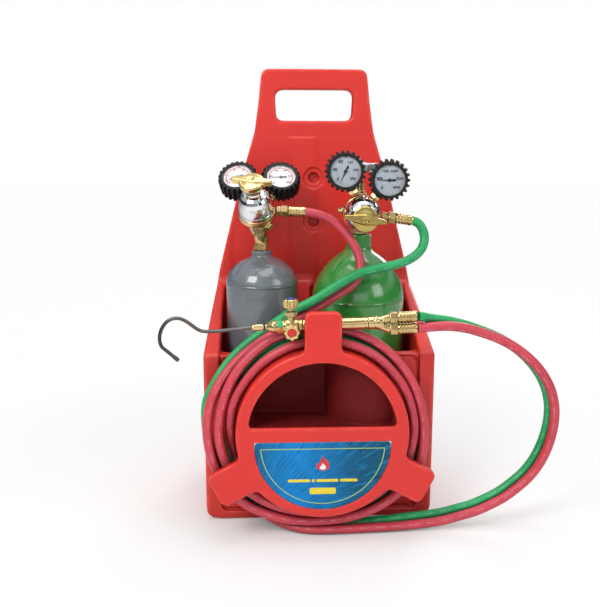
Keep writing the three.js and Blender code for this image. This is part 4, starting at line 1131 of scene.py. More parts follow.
def valve_square(x, y, z):
    body = parts(x, y, z, stack(((hexagon, 0, 5, 13, 0.3, 0), (rod, 4.5, 9, 3.7, 0.3, 0.5))))
    c, s = math.cos(0.785), math.sin(0.785)
    square = np.maximum(np.abs(x * c + y * s), np.abs(-x * s + y * c)) - 3.25
    taper = length(x, y) - 4.4 + np.maximum(z - 16.8, 0) * 0.8
    return join(body, meet(meet(square, slab(z, 12.8, 5.2), 0.5), taper, 0.3), 0.4)


def oxygen_valve(x, y, z):
    valve = OXYGEN_VALVE
    body = parts(x, y, z, stack((
        (hexagon, 388.3, 397.5, 22, 0.5, 0),
        (rod, 374, 389, 8.9, 0.5, 0),
        (rod, 396, 436, 11.9, 1.6, 1.5),
        (hexagon, 437.2, 446.0, 20.4, 0.4, 0),
        (rod, 434, 449.5, 8.6, 0.6, 0.8),
        (rod, 448, 460, 7.2, 1.0, 0.8),
        (rod, 459, 471.5, 4.2, 0.4, 0.8)), OXYGEN_X, CYLINDER_Y))
    body = parts(x, y, z, (
        (rod, valve, along(valve, OXYGEN_OUTLET, 23), 9.8, 0.8, 2.0),
        (rod, valve, valve + vec(0, 17.6, 0), 7.0, 0.8, 1.5),
        (hexagon, valve + vec(0, 12.6, 0), valve + vec(0, 17.9, 0), 13.2, 0.4, 0)), body)
    return carve(body, outlet_bore(x, y, z, valve, OXYGEN_OUTLET))


def handwheel(x, y, z):
    angle, rho = np.arctan2(y, x), length(x, y)
    body = meet(rho - (24.0 + 1.5 * np.cos(6 * angle)), slab(z, 482, 6), 2.2)
    for side in (1, -1):        # hollow above and below the web
        ring = meet(rho - 18.6, 7.6 - rho, 1.5)
        body = carve(body, meet(ring, 2.0 - side * (z - 481), 1.2), 1.0)
    for i in range(5):
        a = 2 * math.pi * i / 5 + 0.3
        body = carve(body, length(x - 12.9 * math.cos(a), y - 12.9 * math.sin(a)) - 3.5, 0.8)
    body = join(body, meet(rho - 6.3, slab(z, 480.9, 9.1), 0.9), 1.2)
    return parts(x, y, z, stack(((hexagon, 487, 491.6, 9.2, 0.3, 0.1),
                                 (rod, 486, 493.6, 2.6, 0.4, 0))), body)


solid_piece("acetylene_valve_forging", acetylene_valve,
            (ACETYLENE_X - 17, CYLINDER_Y - 22, 352), (ACETYLENE_X + 15, CYLINDER_Y + 23, 408),
            0.65, "brass_cast", "acetylene_valve_body")
solid_piece("acetylene_valve_square", valve_square, (-8, -8, -0.5), (8, 8, 18.8), 0.4, "brass",
            "acetylene_valve_spindle",
            place=aimed(along(ACETYLENE_VALVE, SPINDLE_AXIS, 17.3), SPINDLE_AXIS))
solid_piece("oxygen_valve_forging", oxygen_valve,
            (OXYGEN_X - 14, CYLINDER_Y - 25, 373), (OXYGEN_X + 14, CYLINDER_Y + 19, 472.5),
            0.7, "brass_cast", "oxygen_valve_body")
solid_piece("oxygen_valve_wheel", handwheel, (-27, -27, 470.5), (27, 27, 494.5), 0.7, "alloy",
            "oxygen_valve_handwheel", place=pose(origin=(OXYGEN_X, CYLINDER_Y, 0)))

# ------------------------------------------------------------------ gauges
# Rubber boot section: radius, z, how strongly the teeth shape this point
BOOT = (
    (23.15, -21.0, 0), (24.2, -21.6, 0.15), (26.2, -21.5, 0.6), (27.6, -20.4, 0.95),
    (28.0, -18.6, 1), (28.0, -12.0, 1), (28.0, -4.0, 1), (27.9, -0.5, 1), (27.3, 2.2, 0.9),
    (25.9, 3.5, 0.45), (24.0, 3.9, 0.1), (22.2, 3.8, 0), (20.9, 3.55, 0), (20.65, 3.2, 0),
    (20.8, 2.75, 0), (22.2, 2.72, 0), (23.1, 2.72, 0), (23.15, 1.6, 0))
BOOT_TEETH = 22
SCALE_SPAN = -270       # degrees, clockwise from lower left to lower right
SCALE_STEPS = 50


def text_mesh(text, size):
    curve = bpy.data.curves.new("t", "FONT")
    curve.body = text
    curve.size = size
    curve.extrude = 0.04
    curve.align_x = curve.align_y = "CENTER"
    curve.resolution_u = 2
    curve.offset = 0.042 * size
    obj = bpy.data.objects.new("t", curve)
    bpy.context.scene.collection.objects.link(obj)
    bpy.context.view_layer.update()
    mesh = obj.evaluated_get(bpy.context.evaluated_depsgraph_get()).to_mesh()
    verts = np.array([v.co[:] for v in mesh.vertices], float).reshape(-1, 3)
    faces = [list(p.vertices) for p in mesh.polygons]
    obj.to_mesh_clear()
    bpy.data.objects.remove(obj)
    bpy.data.curves.remove(curve)
    return verts, faces


def dial_mark(inner, outer, degrees, width):
    a = math.radians(degrees)
    u, t = vec(math.cos(a), math.sin(a)), vec(-math.sin(a), math.cos(a))
    corners = ((inner, -1), (outer, -1), (outer, 1), (inner, 1))
    verts = [(*(u * r + t * side * width / 2), z) for z in (-0.03, 0.06) for r, side in corners]
    return np.array(verts), tube_faces(2, 4)


def dial_arc(inner, outer, start, end):
    verts = []
    for k in range(49):
        a = math.radians(start + (end - start) * k / 48)
        verts += [(r * math.cos(a), r * math.sin(a), z)
                  for r in (inner, outer) for z in (-0.03, 0.05)]
    order = (0, 1, 3, 2)        # the way round one cross section
    faces = [[i - i % 4 + order[i % 4] for i in face] for face in tube_faces(49, 4)]
    return outward(verts, faces)


def gauge_scale(prefix, place, centre, white, labels):
    """Black print, then red print, with the scale turned so that its gap faces down."""
    up = to_local(place, vec(*centre) + vec(0, 0, 10))
    lean = math.degrees(math.atan2(up[1], up[0])) - 90
    start = 225 + lean
    end = start + SCALE_SPAN
    black, red = [], []
    for k in range(SCALE_STEPS + 1):
        major = k % 10 == 0
        inner = 17.9 if major else (18.5 if k % 5 == 0 else 19.0)
        black.append(dial_mark(inner, 20.0, start + SCALE_SPAN * k / SCALE_STEPS,
                               0.42 if major else 0.24))
    c, s = math.cos(math.radians(lean)), math.sin(math.radians(lean))
    for k, text in enumerate(labels):
        short = len(text) < 3
        angle = math.radians(start + SCALE_SPAN * k / 5)
        verts, faces = text_mesh(text, 4.2 if white else (6.2 if short else 5.0))
        verts[:, 2] += 0.02
        verts[:, :2] = verts[:, :2] @ np.array([[c, s], [-s, c]])
        reach = 14.6 if short else 13.6
        verts[:, 0] += reach * math.cos(angle)
        verts[:, 1] += reach * math.sin(angle)
        black.append((verts, faces))
    if white:
        for inner, outer in ((15.9, 17.5), (11.3, 11.65), (20.2, 20.55)):
            red.append(dial_arc(inner, outer, start, end))
    else:
        black.append(dial_arc(20.2, 20.4, start, end))
        red.append(dial_arc(16.7, 17.2, start + SCALE_SPAN * 0.8, end))
        black.append(dial_arc(11.2, 11.4, start, end))
    for k in range(0, SCALE_STEPS + 1, 5):
        red.append(dial_mark(10.4, 11.3, start + SCALE_SPAN * k / SCALE_STEPS, 0.22))
    verts, faces, _ = lathe(soften([(0, 0), (1.3, 0), (1.3, 0.35, 0.2), (0, 0.45)], 0.2, 2), 20)
    black.append((verts + vec(0, 19.2, -0.05), faces))      # small dot near the dial rim
    for suffix, print_parts, ink in (("_print", black, "ink_black"), ("_arc", red, "ink_red")):
        piece(prefix + "_gauge_scale" + suffix, print_parts, ink, prefix + "_gauge_dial", place,
              extra=True, weighted=False, sharp=30)


def gauge_pointer(prefix, place, degrees):
    """Tapered needle with a counterweight and a round boss."""
    outline = [(-8.2, -1.5), (-4.2, -1.5), (-2.6, -0.9), (2.0, -0.95), (17.4, -0.16), (17.9, 0),
               (17.4, 0.16), (2.0, 0.95), (-2.6, 0.9), (-4.2, 1.5), (-8.2, 1.5), (-8.6, 0)]
    verts, faces = prism(outline, 0.45, 0.85, 0.1, 1)
    needle = verts[:, [0, 2, 1]], [face[::-1] for face in faces]
    boss = lathe(soften([(0, 0.35), (2.5, 0.35, 0.1), (2.5, 1.0, 0.3), (1.1, 1.15, 0.1),
                         (0, 1.15)], 0.2, 3), 32)
    c, s = math.cos(math.radians(degrees)), math.sin(math.radians(degrees))
    piece(prefix + "_gauge_pointer", [needle, boss[:2]], "needle", prefix + "_gauge_needle",
          place @ pose(x=(c, s, 0), y=(-s, c, 0)))


def gauge(prefix, centre, normal, target, needle_degrees, white, labels):
    """Gauge facing along normal, its stem towards target; returns the end of the stem."""
    place = aimed(centre, normal)
    toward = to_local(place, target)
    toward[2] = 0
    toward = unit(toward)

    def on_stem(reach):
        return (toward[0] * reach, toward[1] * reach, -12.0)

    def stem(x, y, z):
        return parts(x, y, z, (
            (rod, on_stem(21), on_stem(34), 4.6, 0.5, 0),
            (hexagon, on_stem(27.2), on_stem(32.6), 12.4, 0.35, 0),
            (rod, on_stem(21), on_stem(26.4), 5.6, 0.6, 0.6)))

    cup = [(0, -22), (20.6, -22, 1.2), (22.6, -20.2, 0.8), (22.8, 1.9, 0.25), (22.4, 2.4, 0.2),
           (21.65, 2.4, 0.2), (21.5, -19), (0, -19)]
    piece(prefix + "_gauge_case_cup", lathe(soften(cup, 0.5, 3), 96), "brass",
          prefix + "_gauge_case", place)
    ends = [on_stem(19), on_stem(36)]
    solid_piece(prefix + "_gauge_stem", stem, np.min(ends, 0) - 8, np.max(ends, 0) + 8, 0.55,
                "brass_cast", prefix + "_gauge_case", place=place, extra=True)

    def tooth(angle, i):
        ridge = math.tanh(2.6 * (math.cos(BOOT_TEETH * angle) - 0.05)) / math.tanh(2.6)
        return BOOT[i][2] * (1.75 * ridge - 1.45)

    piece(prefix + "_gauge_rubber_boot",
          lathe([row[:2] for row in BOOT], BOOT_TEETH * 12, closed=True, wave=tooth),
          "rubber", prefix + "_gauge_boot", place, sharp=60)
    plate = [(0, -1), (21.2, -1, 0.1), (21.2, 0, 0.1), (0, 0)]
    piece(prefix + "_gauge_dial_plate", lathe(soften(plate, 0.1, 2), 96),
          "dial_white" if white else "dial_blue", prefix + "_gauge_dial", place)
    gauge_scale(prefix, place, centre, white, labels)
    lens = [(0, 1.95), (20.4, 1.95), (20.4, 2.35)]
    lens += [(20.4 * math.sin(a), 2.35 + 0.95 * math.cos(a))
             for a in np.linspace(math.pi / 2 * 0.96, 0, 9)[:-1]] + [(0, 3.3)]
    piece(prefix + "_gauge_clear_lens", lathe(lens, 96), "lens", prefix + "_gauge_lens", place)
    gauge_pointer(prefix, place, needle_degrees)
    return to_world(place, [on_stem(34.3)])[0]


# ------------------------------------------------------------------ regulators
REGULATOR_SECTION = [(-30, -18), (15, -18), (17.5, -13.5), (23.5, -9.5), (25.5, -7.4),
                     (25.5, -0.2), (-30, -0.2)]
REGULATOR_FERRULE = 24.5        # length of the hose ferrule
# (radius, z[, corner radius]) up the outside and back down the inside
BONNET = [
    (21.9, 0.15), (24.8, 0.15, 0.4), (24.8, 3.6, 0.6), (24.2, 4.4, 0.3), (24.0, 7),
    (23.3, 13.0), (22.0, 19.5), (20.2, 24.6, 2), (17.6, 28.2, 3), (13.6, 30.6, 2),
    (10.0, 31.6, 0.8), (9.4, 34, 0.5), (5.8, 34, 0.4), (5.8, 28.8), (15, 28.2), (19.6, 14),
    (20.4, 1.5), (21.9, 1.5)]


def regulator_forging(prefix, place, ports, outlet, relief):
    """Round body with gauge ports, an outlet and a relief boss, all meeting at one centre."""
    centre = vec(0, 0, -PORT_DEPTH)
    ports = [to_local(place, p) for p in ports]
    outlet, relief = to_local(place, outlet), to_local(place, relief)
    outlet_reach = np.linalg.norm(outlet - centre)
    relief_reach = np.linalg.norm(relief - centre)

    def to_relief(short_of_end):
        return along(centre, relief - centre, relief_reach - short_of_end)

    def body(x, y, z):
        rho = length(x, y)
        solid = meet(polygon(REGULATOR_SECTION, rho, z), rho - 25.5, 0.7)
        solid = parts(x, y, z, stack(((rod, -26.6, -15, 6.5, 0.5, 2.0),
                                      (rod, -26.6, -23.8, 9.4, 0.5, 0))), solid)
        for port in ports:
            way = port - centre
            reach = np.linalg.norm(way)
            neck = rod(x, y, z, centre, along(centre, way, reach - 2.7), 6.0, 0.6)
            solid = join(solid, meet(neck, z + 0.25, 0.3), 2.5)
            nut = hexagon(x, y, z, along(centre, way, reach - 8.6),
                          along(centre, way, reach - 1.8), 14.0, 0.4)
            solid = join(solid, np.maximum(nut, z + 0.3 - 99 * (rho > 27)))
        solid = parts(x, y, z, (
            (rod, centre, along(centre, outlet - centre, outlet_reach - 4.1), 6.4, 0.7, 2.0),
            (rod, centre, centre + (relief - centre) * 0.86, 4.4, 0.5, 1.5),
            (hexagon, to_relief(8.5), to_relief(4.5), 9.8, 0.3, 0),
            (rod, to_relief(4.6), to_relief(0.3), 3.9, 0.8, 0)), solid)
        for groove_z in (-4.6, -2.4):       # turned grooves on the rim
            solid = carve(solid, length(rho - 25.7, z - groove_z) - 0.55, 0.2)
        solid = np.maximum(solid, np.where(rho < 27.5, z + 0.15, -99))
        return carve(solid, rod(x, y, z, (0, 0, -5), (0, 0, 3), 19, 0.3))

    points = ports + [outlet, relief, vec(-27, -27, -28), vec(27, 27, 1)]
    solid_piece(prefix + "_regulator_forging", body, np.min(points, 0) - 9,
                np.max(points, 0) + 9, 0.8, "brass", prefix + "_regulator_body", place=place)


def regulator_bonnet(prefix, place):
    """Diaphragm, bonnet, spring seat and spring."""
    diaphragm = [(0, 0.15), (21.4, 0.15, 0.2), (21.4, 1.1, 0.2), (0, 1.1)]
    piece(prefix + "_rubber_diaphragm", lathe(soften(diaphragm, 0.2, 2), 64), "diaphragm",
          prefix + "_diaphragm", place)
    piece(prefix + "_bonnet_shell", lathe(soften(BONNET, 0.5, 4, closed=True), 128, closed=True),
          "chrome", prefix + "_regulator_bonnet", place)
    seat = [(0, 23), (11.5, 23, 0.5), (11.5, 25.4, 0.5), (6, 27.4, 0.5), (0, 27.4)]
    piece(prefix + "_spring_seat", lathe(soften(seat, 0.4, 3), 48), "steel",
          prefix + "_spring_button", place)
    angle = np.linspace(0, 10 * math.pi, 260)
    height = 2.6 + 13.2 * np.linspace(0, 1, 260)
    helix = np.stack([9.5 * np.cos(angle), 9.5 * np.sin(angle), height], 1)
    piece(prefix + "_coil_spring", sweep(helix, 1.15, 12), "steel",
          prefix + "_adjusting_spring", place)


def regulator_knob(prefix, place, turn, material):
    """Domed cup with two tapering wings."""
    c, s = math.cos(math.radians(turn)), math.sin(math.radians(turn))

    def knob(knob_x, knob_y, z):
        x, y = knob_x * c + knob_y * s, -knob_x * s + knob_y * c
        rho = length(x, y)
        solid = rod(x, y, z, (0, 0, 27.8), (0, 0, 44), 5.0, 0.5)
        cup_radius = np.interp(z, [40.6, 41.2, 43.2, 45.5, 48.5, 51.6, 53.2],
                               [11.0, 12.6, 15.2, 16.4, 17.0, 17.3, 16.8])
        cup = meet((rho - cup_radius) * 0.9, slab(z, 47.4, 6.2), 1.4)
        cap = np.sqrt((rho / 16.2) ** 2 + (np.maximum(z - 50, 0) / 5.2) ** 2)
        dome = np.maximum((cap - 1) * 5.0, 50 - z)
        solid = join(join(solid, cup, 1.0), dome, 0.8)
        out = np.abs(x) / 28.4
        half = 6.4 - 4.0 * out ** 1.15
        wing = meet((np.abs(y) - half) * 0.97, np.abs(x) - 28.4, 2.0)
        wing = meet(wing, np.abs(z - 52.3) - (5.2 - 0.9 * out ** 2), 1.6)
        solid = join(solid, wing, 1.6)
        return carve(solid, length(x, y, z - 62.2) - 6.2, 0.8)

    solid_piece(prefix + "_tee_knob", knob, (-29.5, -29.5, 26.5), (29.5, 29.5, 58.5), 0.75,
                material, prefix + "_adjusting_knob", place=place)


def inlet_nut(x, y, z):
    nut = hexagon(x, y, z, (0, 0, -36), (0, 0, -20.4), 25.6, 0.5)
    for low, high, radius in ((-40, -23.4, 10.3), (-25, -15, 6.9)):
        nut = carve(nut, rod(x, y, z, (0, 0, low), (0, 0, high), radius, 0.2), 0.4)
    return carve(nut, length(length(x, y) - 15.6, z + 28.2) - 1.5, 0.3)


def regulator(prefix, valve, direction, roll, ports, outlet, hose_end, relief, knob_turn,
              knob_material):
    """Builds a regulator and returns the placement of its hose ferrule."""
    place = aimed(along(valve, direction, REGULATOR_REACH), direction, roll)
    regulator_forging(prefix, place, ports, outlet, relief)
    regulator_bonnet(prefix, place)
    regulator_knob(prefix, place, knob_turn, knob_material)
    solid_piece(prefix + "_inlet_union_nut", inlet_nut, (-16, -16, -37), (16, 16, -19.5), 0.6,
                "brass_cast", prefix + "_inlet_nut", place=place)
    way = vec(*hose_end) - vec(*outlet)
    union_place = aimed(outlet, way)
    end = np.linalg.norm(way) - REGULATOR_FERRULE

    def union(x, y, z):
        return parts(x, y, z, stack((
            (hexagon, 0.3, 6.0, 12, 0.35, 0),
            (rod, 5, end - 8, 4.5, 0.3, 0),
            (rod, 5.6, 7.4, 5.6, 0.4, 0.3),
            (hexagon, end - 9.5, end - 0.3, 15.3, 0.4, 0))))

    solid_piece(prefix + "_outlet_union", union, (-9.5, -9.5, -0.5), (9.5, 9.5, end + 0.5), 0.5,
                "brass_cast", prefix + "_outlet_fitting", place=union_place)
    return union_place @ pose(origin=(0, 0, end))


acetylene_centre = along(ACETYLENE_VALVE, ACETYLENE_OUTLET, REGULATOR_REACH - PORT_DEPTH)
oxygen_centre = along(OXYGEN_VALVE, OXYGEN_OUTLET, REGULATOR_REACH - PORT_DEPTH)
OXYGEN_GAUGE_NORMAL = (-0.05, -0.9985, -0.02)
acetylene_ports = [
    gauge("acetylene_outlet", (-112.2, 15, 467.3), (-0.13, -0.735, 0.665), acetylene_centre,
          needle_degrees=205, white=True, labels=("0", "6", "12", "18", "24", "30")),
    gauge("acetylene_inlet", (-50.4, 15, 467.1), (0.06, -0.74, 0.67), acetylene_centre,
          needle_degrees=182, white=True, labels=("0", "80", "160", "240", "320", "400"))]
oxygen_ports = [
    gauge("oxygen_outlet", (35.8, -58, 478.0), OXYGEN_GAUGE_NORMAL, oxygen_centre,
          needle_degrees=245, white=False, labels=("0", "40", "80", "120", "160", "200")),
    gauge("oxygen_inlet", (95.6, -58, 466.5), OXYGEN_GAUGE_NORMAL, oxygen_centre,
          needle_degrees=180, white=False,
          labels=("0", "800", "1600", "2400", "3200", "4000"))]
acetylene_ferrule = regulator(
    "acetylene", ACETYLENE_VALVE, ACETYLENE_OUTLET, roll=3, ports=acetylene_ports,
    outlet=(-57.5, -30.6, 423.3), hose_end=(-17.3, -30.5, 421.4),
    relief=(-64.6, -47.6, 402.3), knob_turn=-9, knob_material="knob")
oxygen_ferrule = regulator(
    "oxygen", OXYGEN_VALVE, OXYGEN_OUTLET, roll=-8, ports=oxygen_ports,
    outlet=(86.4, -45.5, 417.1), hose_end=(130.0, -45, 411.0),
    relief=(26.6, -45, 425.6), knob_turn=0, knob_material="knob_olive")


# ------------------------------------------------------------------ hoses and ferrules
def ferrule(node, extent, outer, mouth, sides, place):
    """Crimped sleeve with four shallow waists; mouth is its radius round the hose."""
    waist = outer - 0.55
    profile = [(3, 0), (6.3, 0, 0.3), (outer, 1.6, 0.5)]
    for z in (5.2, 9.2, 13.2, 17.2):
        profile += [(outer, z - 1.5, 0.6), (waist, z - 0.9, 0.5),
                    (waist, z + 0.9, 0.5), (outer, z + 1.5, 0.6)]
    profile += [(outer, extent - 2.2, 0.5), (outer - 0.45, extent, 0.3), (mouth, extent, 0.2),
                (mouth, 2.5), (3, 2.5)]
    turned = lathe(soften(profile, 0.4, 3, closed=True), sides, closed=True)
    piece(node + "_crimped", turned, "brass", node, place)


ferrule("fuel_hose_regulator_ferrule", REGULATOR_FERRULE, 7.5, 6.5, 64, acetylene_ferrule)
ferrule("oxygen_hose_regulator_ferrule", REGULATOR_FERRULE, 7.5, 6.5, 64, oxygen_ferrule)

# Hose centre lines as (x, y, z). These two runs round the hub are shared by both hoses.
FIRST_TURN = [
    (-142.5, -150, 103.4), (-124.7, -150, 69.1), (-97.2, -150, 42.8), (-63.6, -150, 27.4),
    (-31.6, -150, 20.4), (0, -150, 19.4), (33.3, -150, 22.9), (65.8, -150, 33.1),
    (95.5, -150, 51.5), (119.9, -150, 77.7), (132.2, -150, 104), (135.3, -149, 139.9),
    (131.5, -147, 172.6), (115.9, -144, 213.9)]
LATER_TURNS = [
    (-124.8, -149, 197.4), (-135, -150, 147), (-128, -150, 107.9), (-111.1, -150, 77.6),
    (-80.3, -150, 51.2), (-40.5, -150, 35.6), (0, -150, 32.5), (39.3, -150, 38.9),
    (75.2, -150, 57.4), (103.9, -150, 87), (117.2, -150, 115.6), (121.8, -150, 147),
    (116.7, -150, 178.3), (104.3, -150, 207.2), (69.1, -150, 245.6), (20.7, -150, 264.5),
    (-30.9, -150, 262.2), (-76.7, -150, 238.4), (-111.6, -149.5, 192.1), (-119, -146.5, 163.7),
    (-119.8, -138.5, 136.5), (-117.1, -128, 111.2), (-113.2, -124, 89.3), (-107, -124, 66.4),
    (-96.5, -124, 43.5), (-82.2, -124.5, 25.1), (-64.8, -130, 14.2), (-44.9, -139, 8.9),
    (-24.8, -146.5, 6.6), (-4.9, -150, 6.2)]


def behind(points):
    return [(x, round(y + HOSE_PITCH, 1), z) for x, y, z in points]


FUEL_HOSE = [
    (-36, -30.5, 422.4), (-27, -30.5, 422), (-17.3, -30.5, 421.4), (0.2, -31.5, 418.3),
    (19.6, -34, 410.6), (37.3, -40, 394.5), (49.3, -48, 377.4), (56.1, -55.5, 361.7),
    (57.5, -61, 348.6), (54.3, -66.5, 336.3), (42.5, -75, 324.3), (21.2, -84, 312.3),
    (5.3, -90.5, 303.6), (-16.5, -98, 292.7), (-31.1, -104, 285), (-33.2, -105.2, 281.8),
    (-47.6, -111.3, 273.4), (-67.9, -116.5, 265.2), (-86, -124, 254.8), (-105.5, -131, 240.7),
    (-122.8, -137.5, 223), (-137.2, -144.5, 202.3), (-145.8, -148.3, 181), (-149.6, -150, 147),
    *FIRST_TURN,
    (86.1, -140, 249.6), (45.8, -137, 272.9), (0, -136, 281), (-41.5, -136, 274.7),
    (-67.6, -138, 264.2), (-102.1, -144, 235.8),
    *LATER_TURNS,
    (22, -150.5, 6.7), (55, -149, 6.7), (92, -147, 6.9), (116.6, -145, 7.5),
    (141.3, -144, 9.4), (165.9, -143, 12.5), (190, -142, 18.4), (210.5, -141, 23.8),
    (230, -140, 32.1), (249.1, -139, 41.9), (266.6, -139, 55.6), (283.4, -139, 71.7),
    (296.6, -140, 92.2), (305.9, -141, 115.9), (311, -142, 141.9), (311.2, -143, 169.3),
    (304, -144, 196.3), (289.9, -145, 220.5), (271.1, -146, 240.5), (249.8, -147, 256.3),
    (227.4, -147.5, 268), (204.5, -148, 276.3), (189.6, -149, 281), (167, -149.5, 284.6),
    (144.4, -150, 284.5), (132.2, -150, 283.4), (123.4, -150, 282.95)]
OXYGEN_HOSE = [
    (112, -45, 413.4), (121, -45, 412.2), (130, -45, 411), (137.7, -45.3, 408.7),
    (143.8, -46.5, 400.6), (147, -49, 389.7), (145.5, -53, 378.4), (138.9, -58, 368.7),
    (126.3, -64, 360.3), (110.5, -69, 354.7), (82.3, -76, 349.2), (54.6, -81, 343.5),
    (39.7, -86, 336.6), (21.4, -93, 327.5), (4.7, -99.5, 317.9), (-13.9, -105.5, 307.9),
    (-29.4, -106.2, 300.6), (-51, -102.3, 286.4), (-78.8, -106, 267.1), (-101.8, -111.5, 250.1),
    (-119.5, -118, 233.7), (-132.1, -123.5, 217.5), (-143.1, -128.5, 199.1),
    (-151, -132.5, 179.9), (-151.1, -136.3, 147),
    *behind(FIRST_TURN),
    (83.6, -127, 246.6), (43.3, -124, 265.9), (0, -123.5, 269.5), (-37.9, -123.3, 263.6),
    (-60.8, -123.4, 252.6), (-94.5, -124.5, 229),
    *behind(LATER_TURNS),
    (22, -137.3, 7.2), (55, -136, 9), (92, -135, 11.5), (118, -133.4, 13.9),
    (141.7, -132.4, 15.9), (165.2, -131.1, 18.4), (188.4, -129.9, 23.8), (208.2, -128.8, 28.6),
    (226.9, -127.8, 36.5), (245.5, -126.8, 45.9), (262.4, -126.8, 59), (278.7, -126.8, 74.4),
    (291.6, -127.8, 94.2), (300.8, -128.8, 117), (306.4, -129.5, 142.1), (307.2, -130.3, 168.9),
    (300.7, -131.1, 195.4), (287.6, -132, 219.4), (269.8, -132.8, 239.5),
    (249.3, -133.7, 255.7), (227.4, -134.2, 268), (204.8, -134.7, 277), (189.6, -135.8, 282.5),
    (167, -136.8, 288.6), (144.4, -139.4, 292.5), (132.2, -144.7, 295.6),
    (127.5, -149.6, 298.2), (123.3, -150, 298.15)]


def hose(node, points, material):
    """Coil that stays with the carrier, and a loop that bends from the floor to the torch."""
    path = smooth_path(points, step=3.0, sigma=5.0)
    verts, _, distance = sweep(path, HOSE_RADIUS, HOSE_SIDES)
    around = np.tile(ring_angles(HOSE_SIDES), len(path))
    cut = int(np.nonzero((path[:, 0] <= 92.0) & (path[:, 2] < 20.0))[0].max())
    for suffix, first, last in (("_coil", 0, cut), ("_loop", cut, len(path) - 1)):
        own = slice(first * HOSE_SIDES, (last + 1) * HOSE_SIDES)
        is_loop = suffix == "_loop"
        obj = piece(node + suffix, (verts[own], tube_faces(last - first + 1, HOSE_SIDES)),
                    material, node, attrs={"along": distance[own], "around": around[own]},
                    weighted=False, sharp=70, rides=not is_loop)
        if is_loop:
            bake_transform(obj)


hose("fuel_hose", FUEL_HOSE, "hose_red")
hose("oxygen_hose", OXYGEN_HOSE, "hose_green")

# ------------------------------------------------------------------ torch
# Torch frame: +X runs along the handle to the hoses, the origin is in the valve block.
torch_tilt = math.radians(-2.1)
TORCH = pose(x=(math.cos(torch_tilt), 0, -math.sin(torch_tilt)),
             z=(math.sin(torch_tilt), 0, math.cos(torch_tilt)), origin=(-39.5, -150, 286.6))
LAID = pose(x=(0, 0, -1), z=(1, 0, 0))          # lays a turned part's +Z along +X
TORCH_LAID = TORCH @ LAID
FUEL_KNOB = TORCH @ pose(origin=(0, -12.8, -4)) @ pose(y=(0, 0, 1), z=(0, -1, 0))
OXYGEN_INLET_Z = 5.6
FUEL_INLET_Z = -9.6


def turned_ring(name, profile, sides, node, rounding):
    """Brass ring laid along the torch, from a closed section."""
    turned = lathe(soften(profile, rounding, 3, closed=True), sides, closed=True)
    piece(name, turned, "brass", node, TORCH_LAID)


def torch_valve(x, y, z):
    rho = length(y, z)
    body = meet(rho - 8.2, slab(x, -3, 16.9), 0.8)
    for x0, x1, radius in ((-18.6, -13.4, 8.7), (-8.6, 8.4, 9.1)):      # collars
        collar = meet(rho - radius, slab(x, (x0 + x1) / 2, (x1 - x0) / 2), 1.1)
        body = join(body, collar, 1.0)
    body = parts(x, y, z, (
        (rod, (0, 0, 0), (0, 0, 14), 6.3, 0.6, 1.8),
        (hexagon, (0, 0, 12.7), (0, 0, 18.9), 13.4, 0.4, 0),
        (rod, (0, 0, -4), (0, -11.6, -4), 6.1, 0.5, 1.5),
        (hexagon, (0, -9.6, -4), (0, -12.4, -4), 13.2, 0.3, 0)), body)
    for groove_x in (-10.6, 10.4):
        body = carve(body, length(rho - 8.9, x - groove_x) - 0.8, 0.3)
    return carve(body, rod(x, y, z, (-21, 0, 0), (-3, 0, 0), 2.4, 0.1))


def fluted(x, y, radius, depth, count):
    return length(x, y) - (radius + depth * np.cos(count * np.arctan2(y, x)))


def torch_oxygen_knob(x, y, z):
    rho = length(x, y)
    stem = rod(x, y, z, (0, 0, 19.3), (0, 0, 25), 2.6, 0.3)
    ends = slab(z, 29.4, 5.9) + 0.10 * np.maximum(rho - 6, 0) ** 1.4
    grip = meet(fluted(x, y, 8.9, 0.75, 10), ends, 1.3)
    grip = carve(grip, length(rho - 9.9, z - 25.2) - 1.0, 0.4)
    return join(stem, grip, 0.8)


def torch_fuel_knob(x, y, z):
    rho = length(x, y)
    stem = rod(x, y, z, (0, 0, 0), (0, 0, 4), 2.6, 0.3)
    grip = meet(fluted(x, y, 9.5, 1.0, 8), slab(z, 6.2, 4.1), 1.2)
    grip = carve(grip, meet(rho - 5.6, 9.6 - z, 0.4), 0.4)
    return join(stem, meet(grip, rho - 10.3 + 0.35 * np.maximum(z - 8, 0), 0.6), 0.8)


def knob_cap(name, profile, material, node, place):
    piece(name, lathe(soften(profile, 0.3, 3), 48), material, node, place, extra=True)


def torch_ring(name, side, material):
    """Half ring round the valve block, above (side 1) or below (side -1)."""
    verts = []
    for i in range(31):
        a = math.radians(8 + 164 * i / 30)
        verts += [(x, -r * math.cos(a), side * r * math.sin(a))
                  for r, x in ((8.1, -18.5), (8.95, -18.3), (8.95, -11.2), (8.1, -11.0))]
    piece(name, outward(verts, tube_faces(31, 4)), material, "torch_valve_body", TORCH,
          extra=True, sharp=50)


def torch_rear(x, y, z):
    rho = length(y, z)
    body = meet(rho - 8.6, slab(x, 103.4, 5.6), 0.7)
    neck_radius = np.interp(x, [97, 109, 112, 120], [8.2, 8.2, 7.5, 7.2])
    body = join(body, meet(rho - neck_radius, slab(x, 108, 10.2), 2.0), 0.8)
    for inlet in (OXYGEN_INLET_Z, FUEL_INLET_Z):
        branch = rod(x, y, z, (111, 0, (inlet - 1.6) * 0.35), (126.6, 0, inlet), 5.4, 1.0)
        nut = hexagon(x, y, z, (126, 0, inlet), (135.6, 0, inlet), 13.0, 0.4, turn=math.pi / 6)
        body = join(join(body, branch, 1.5), nut)
    return carve(body, length(rho - 8.9, x - 105.6) - 0.7, 0.3)


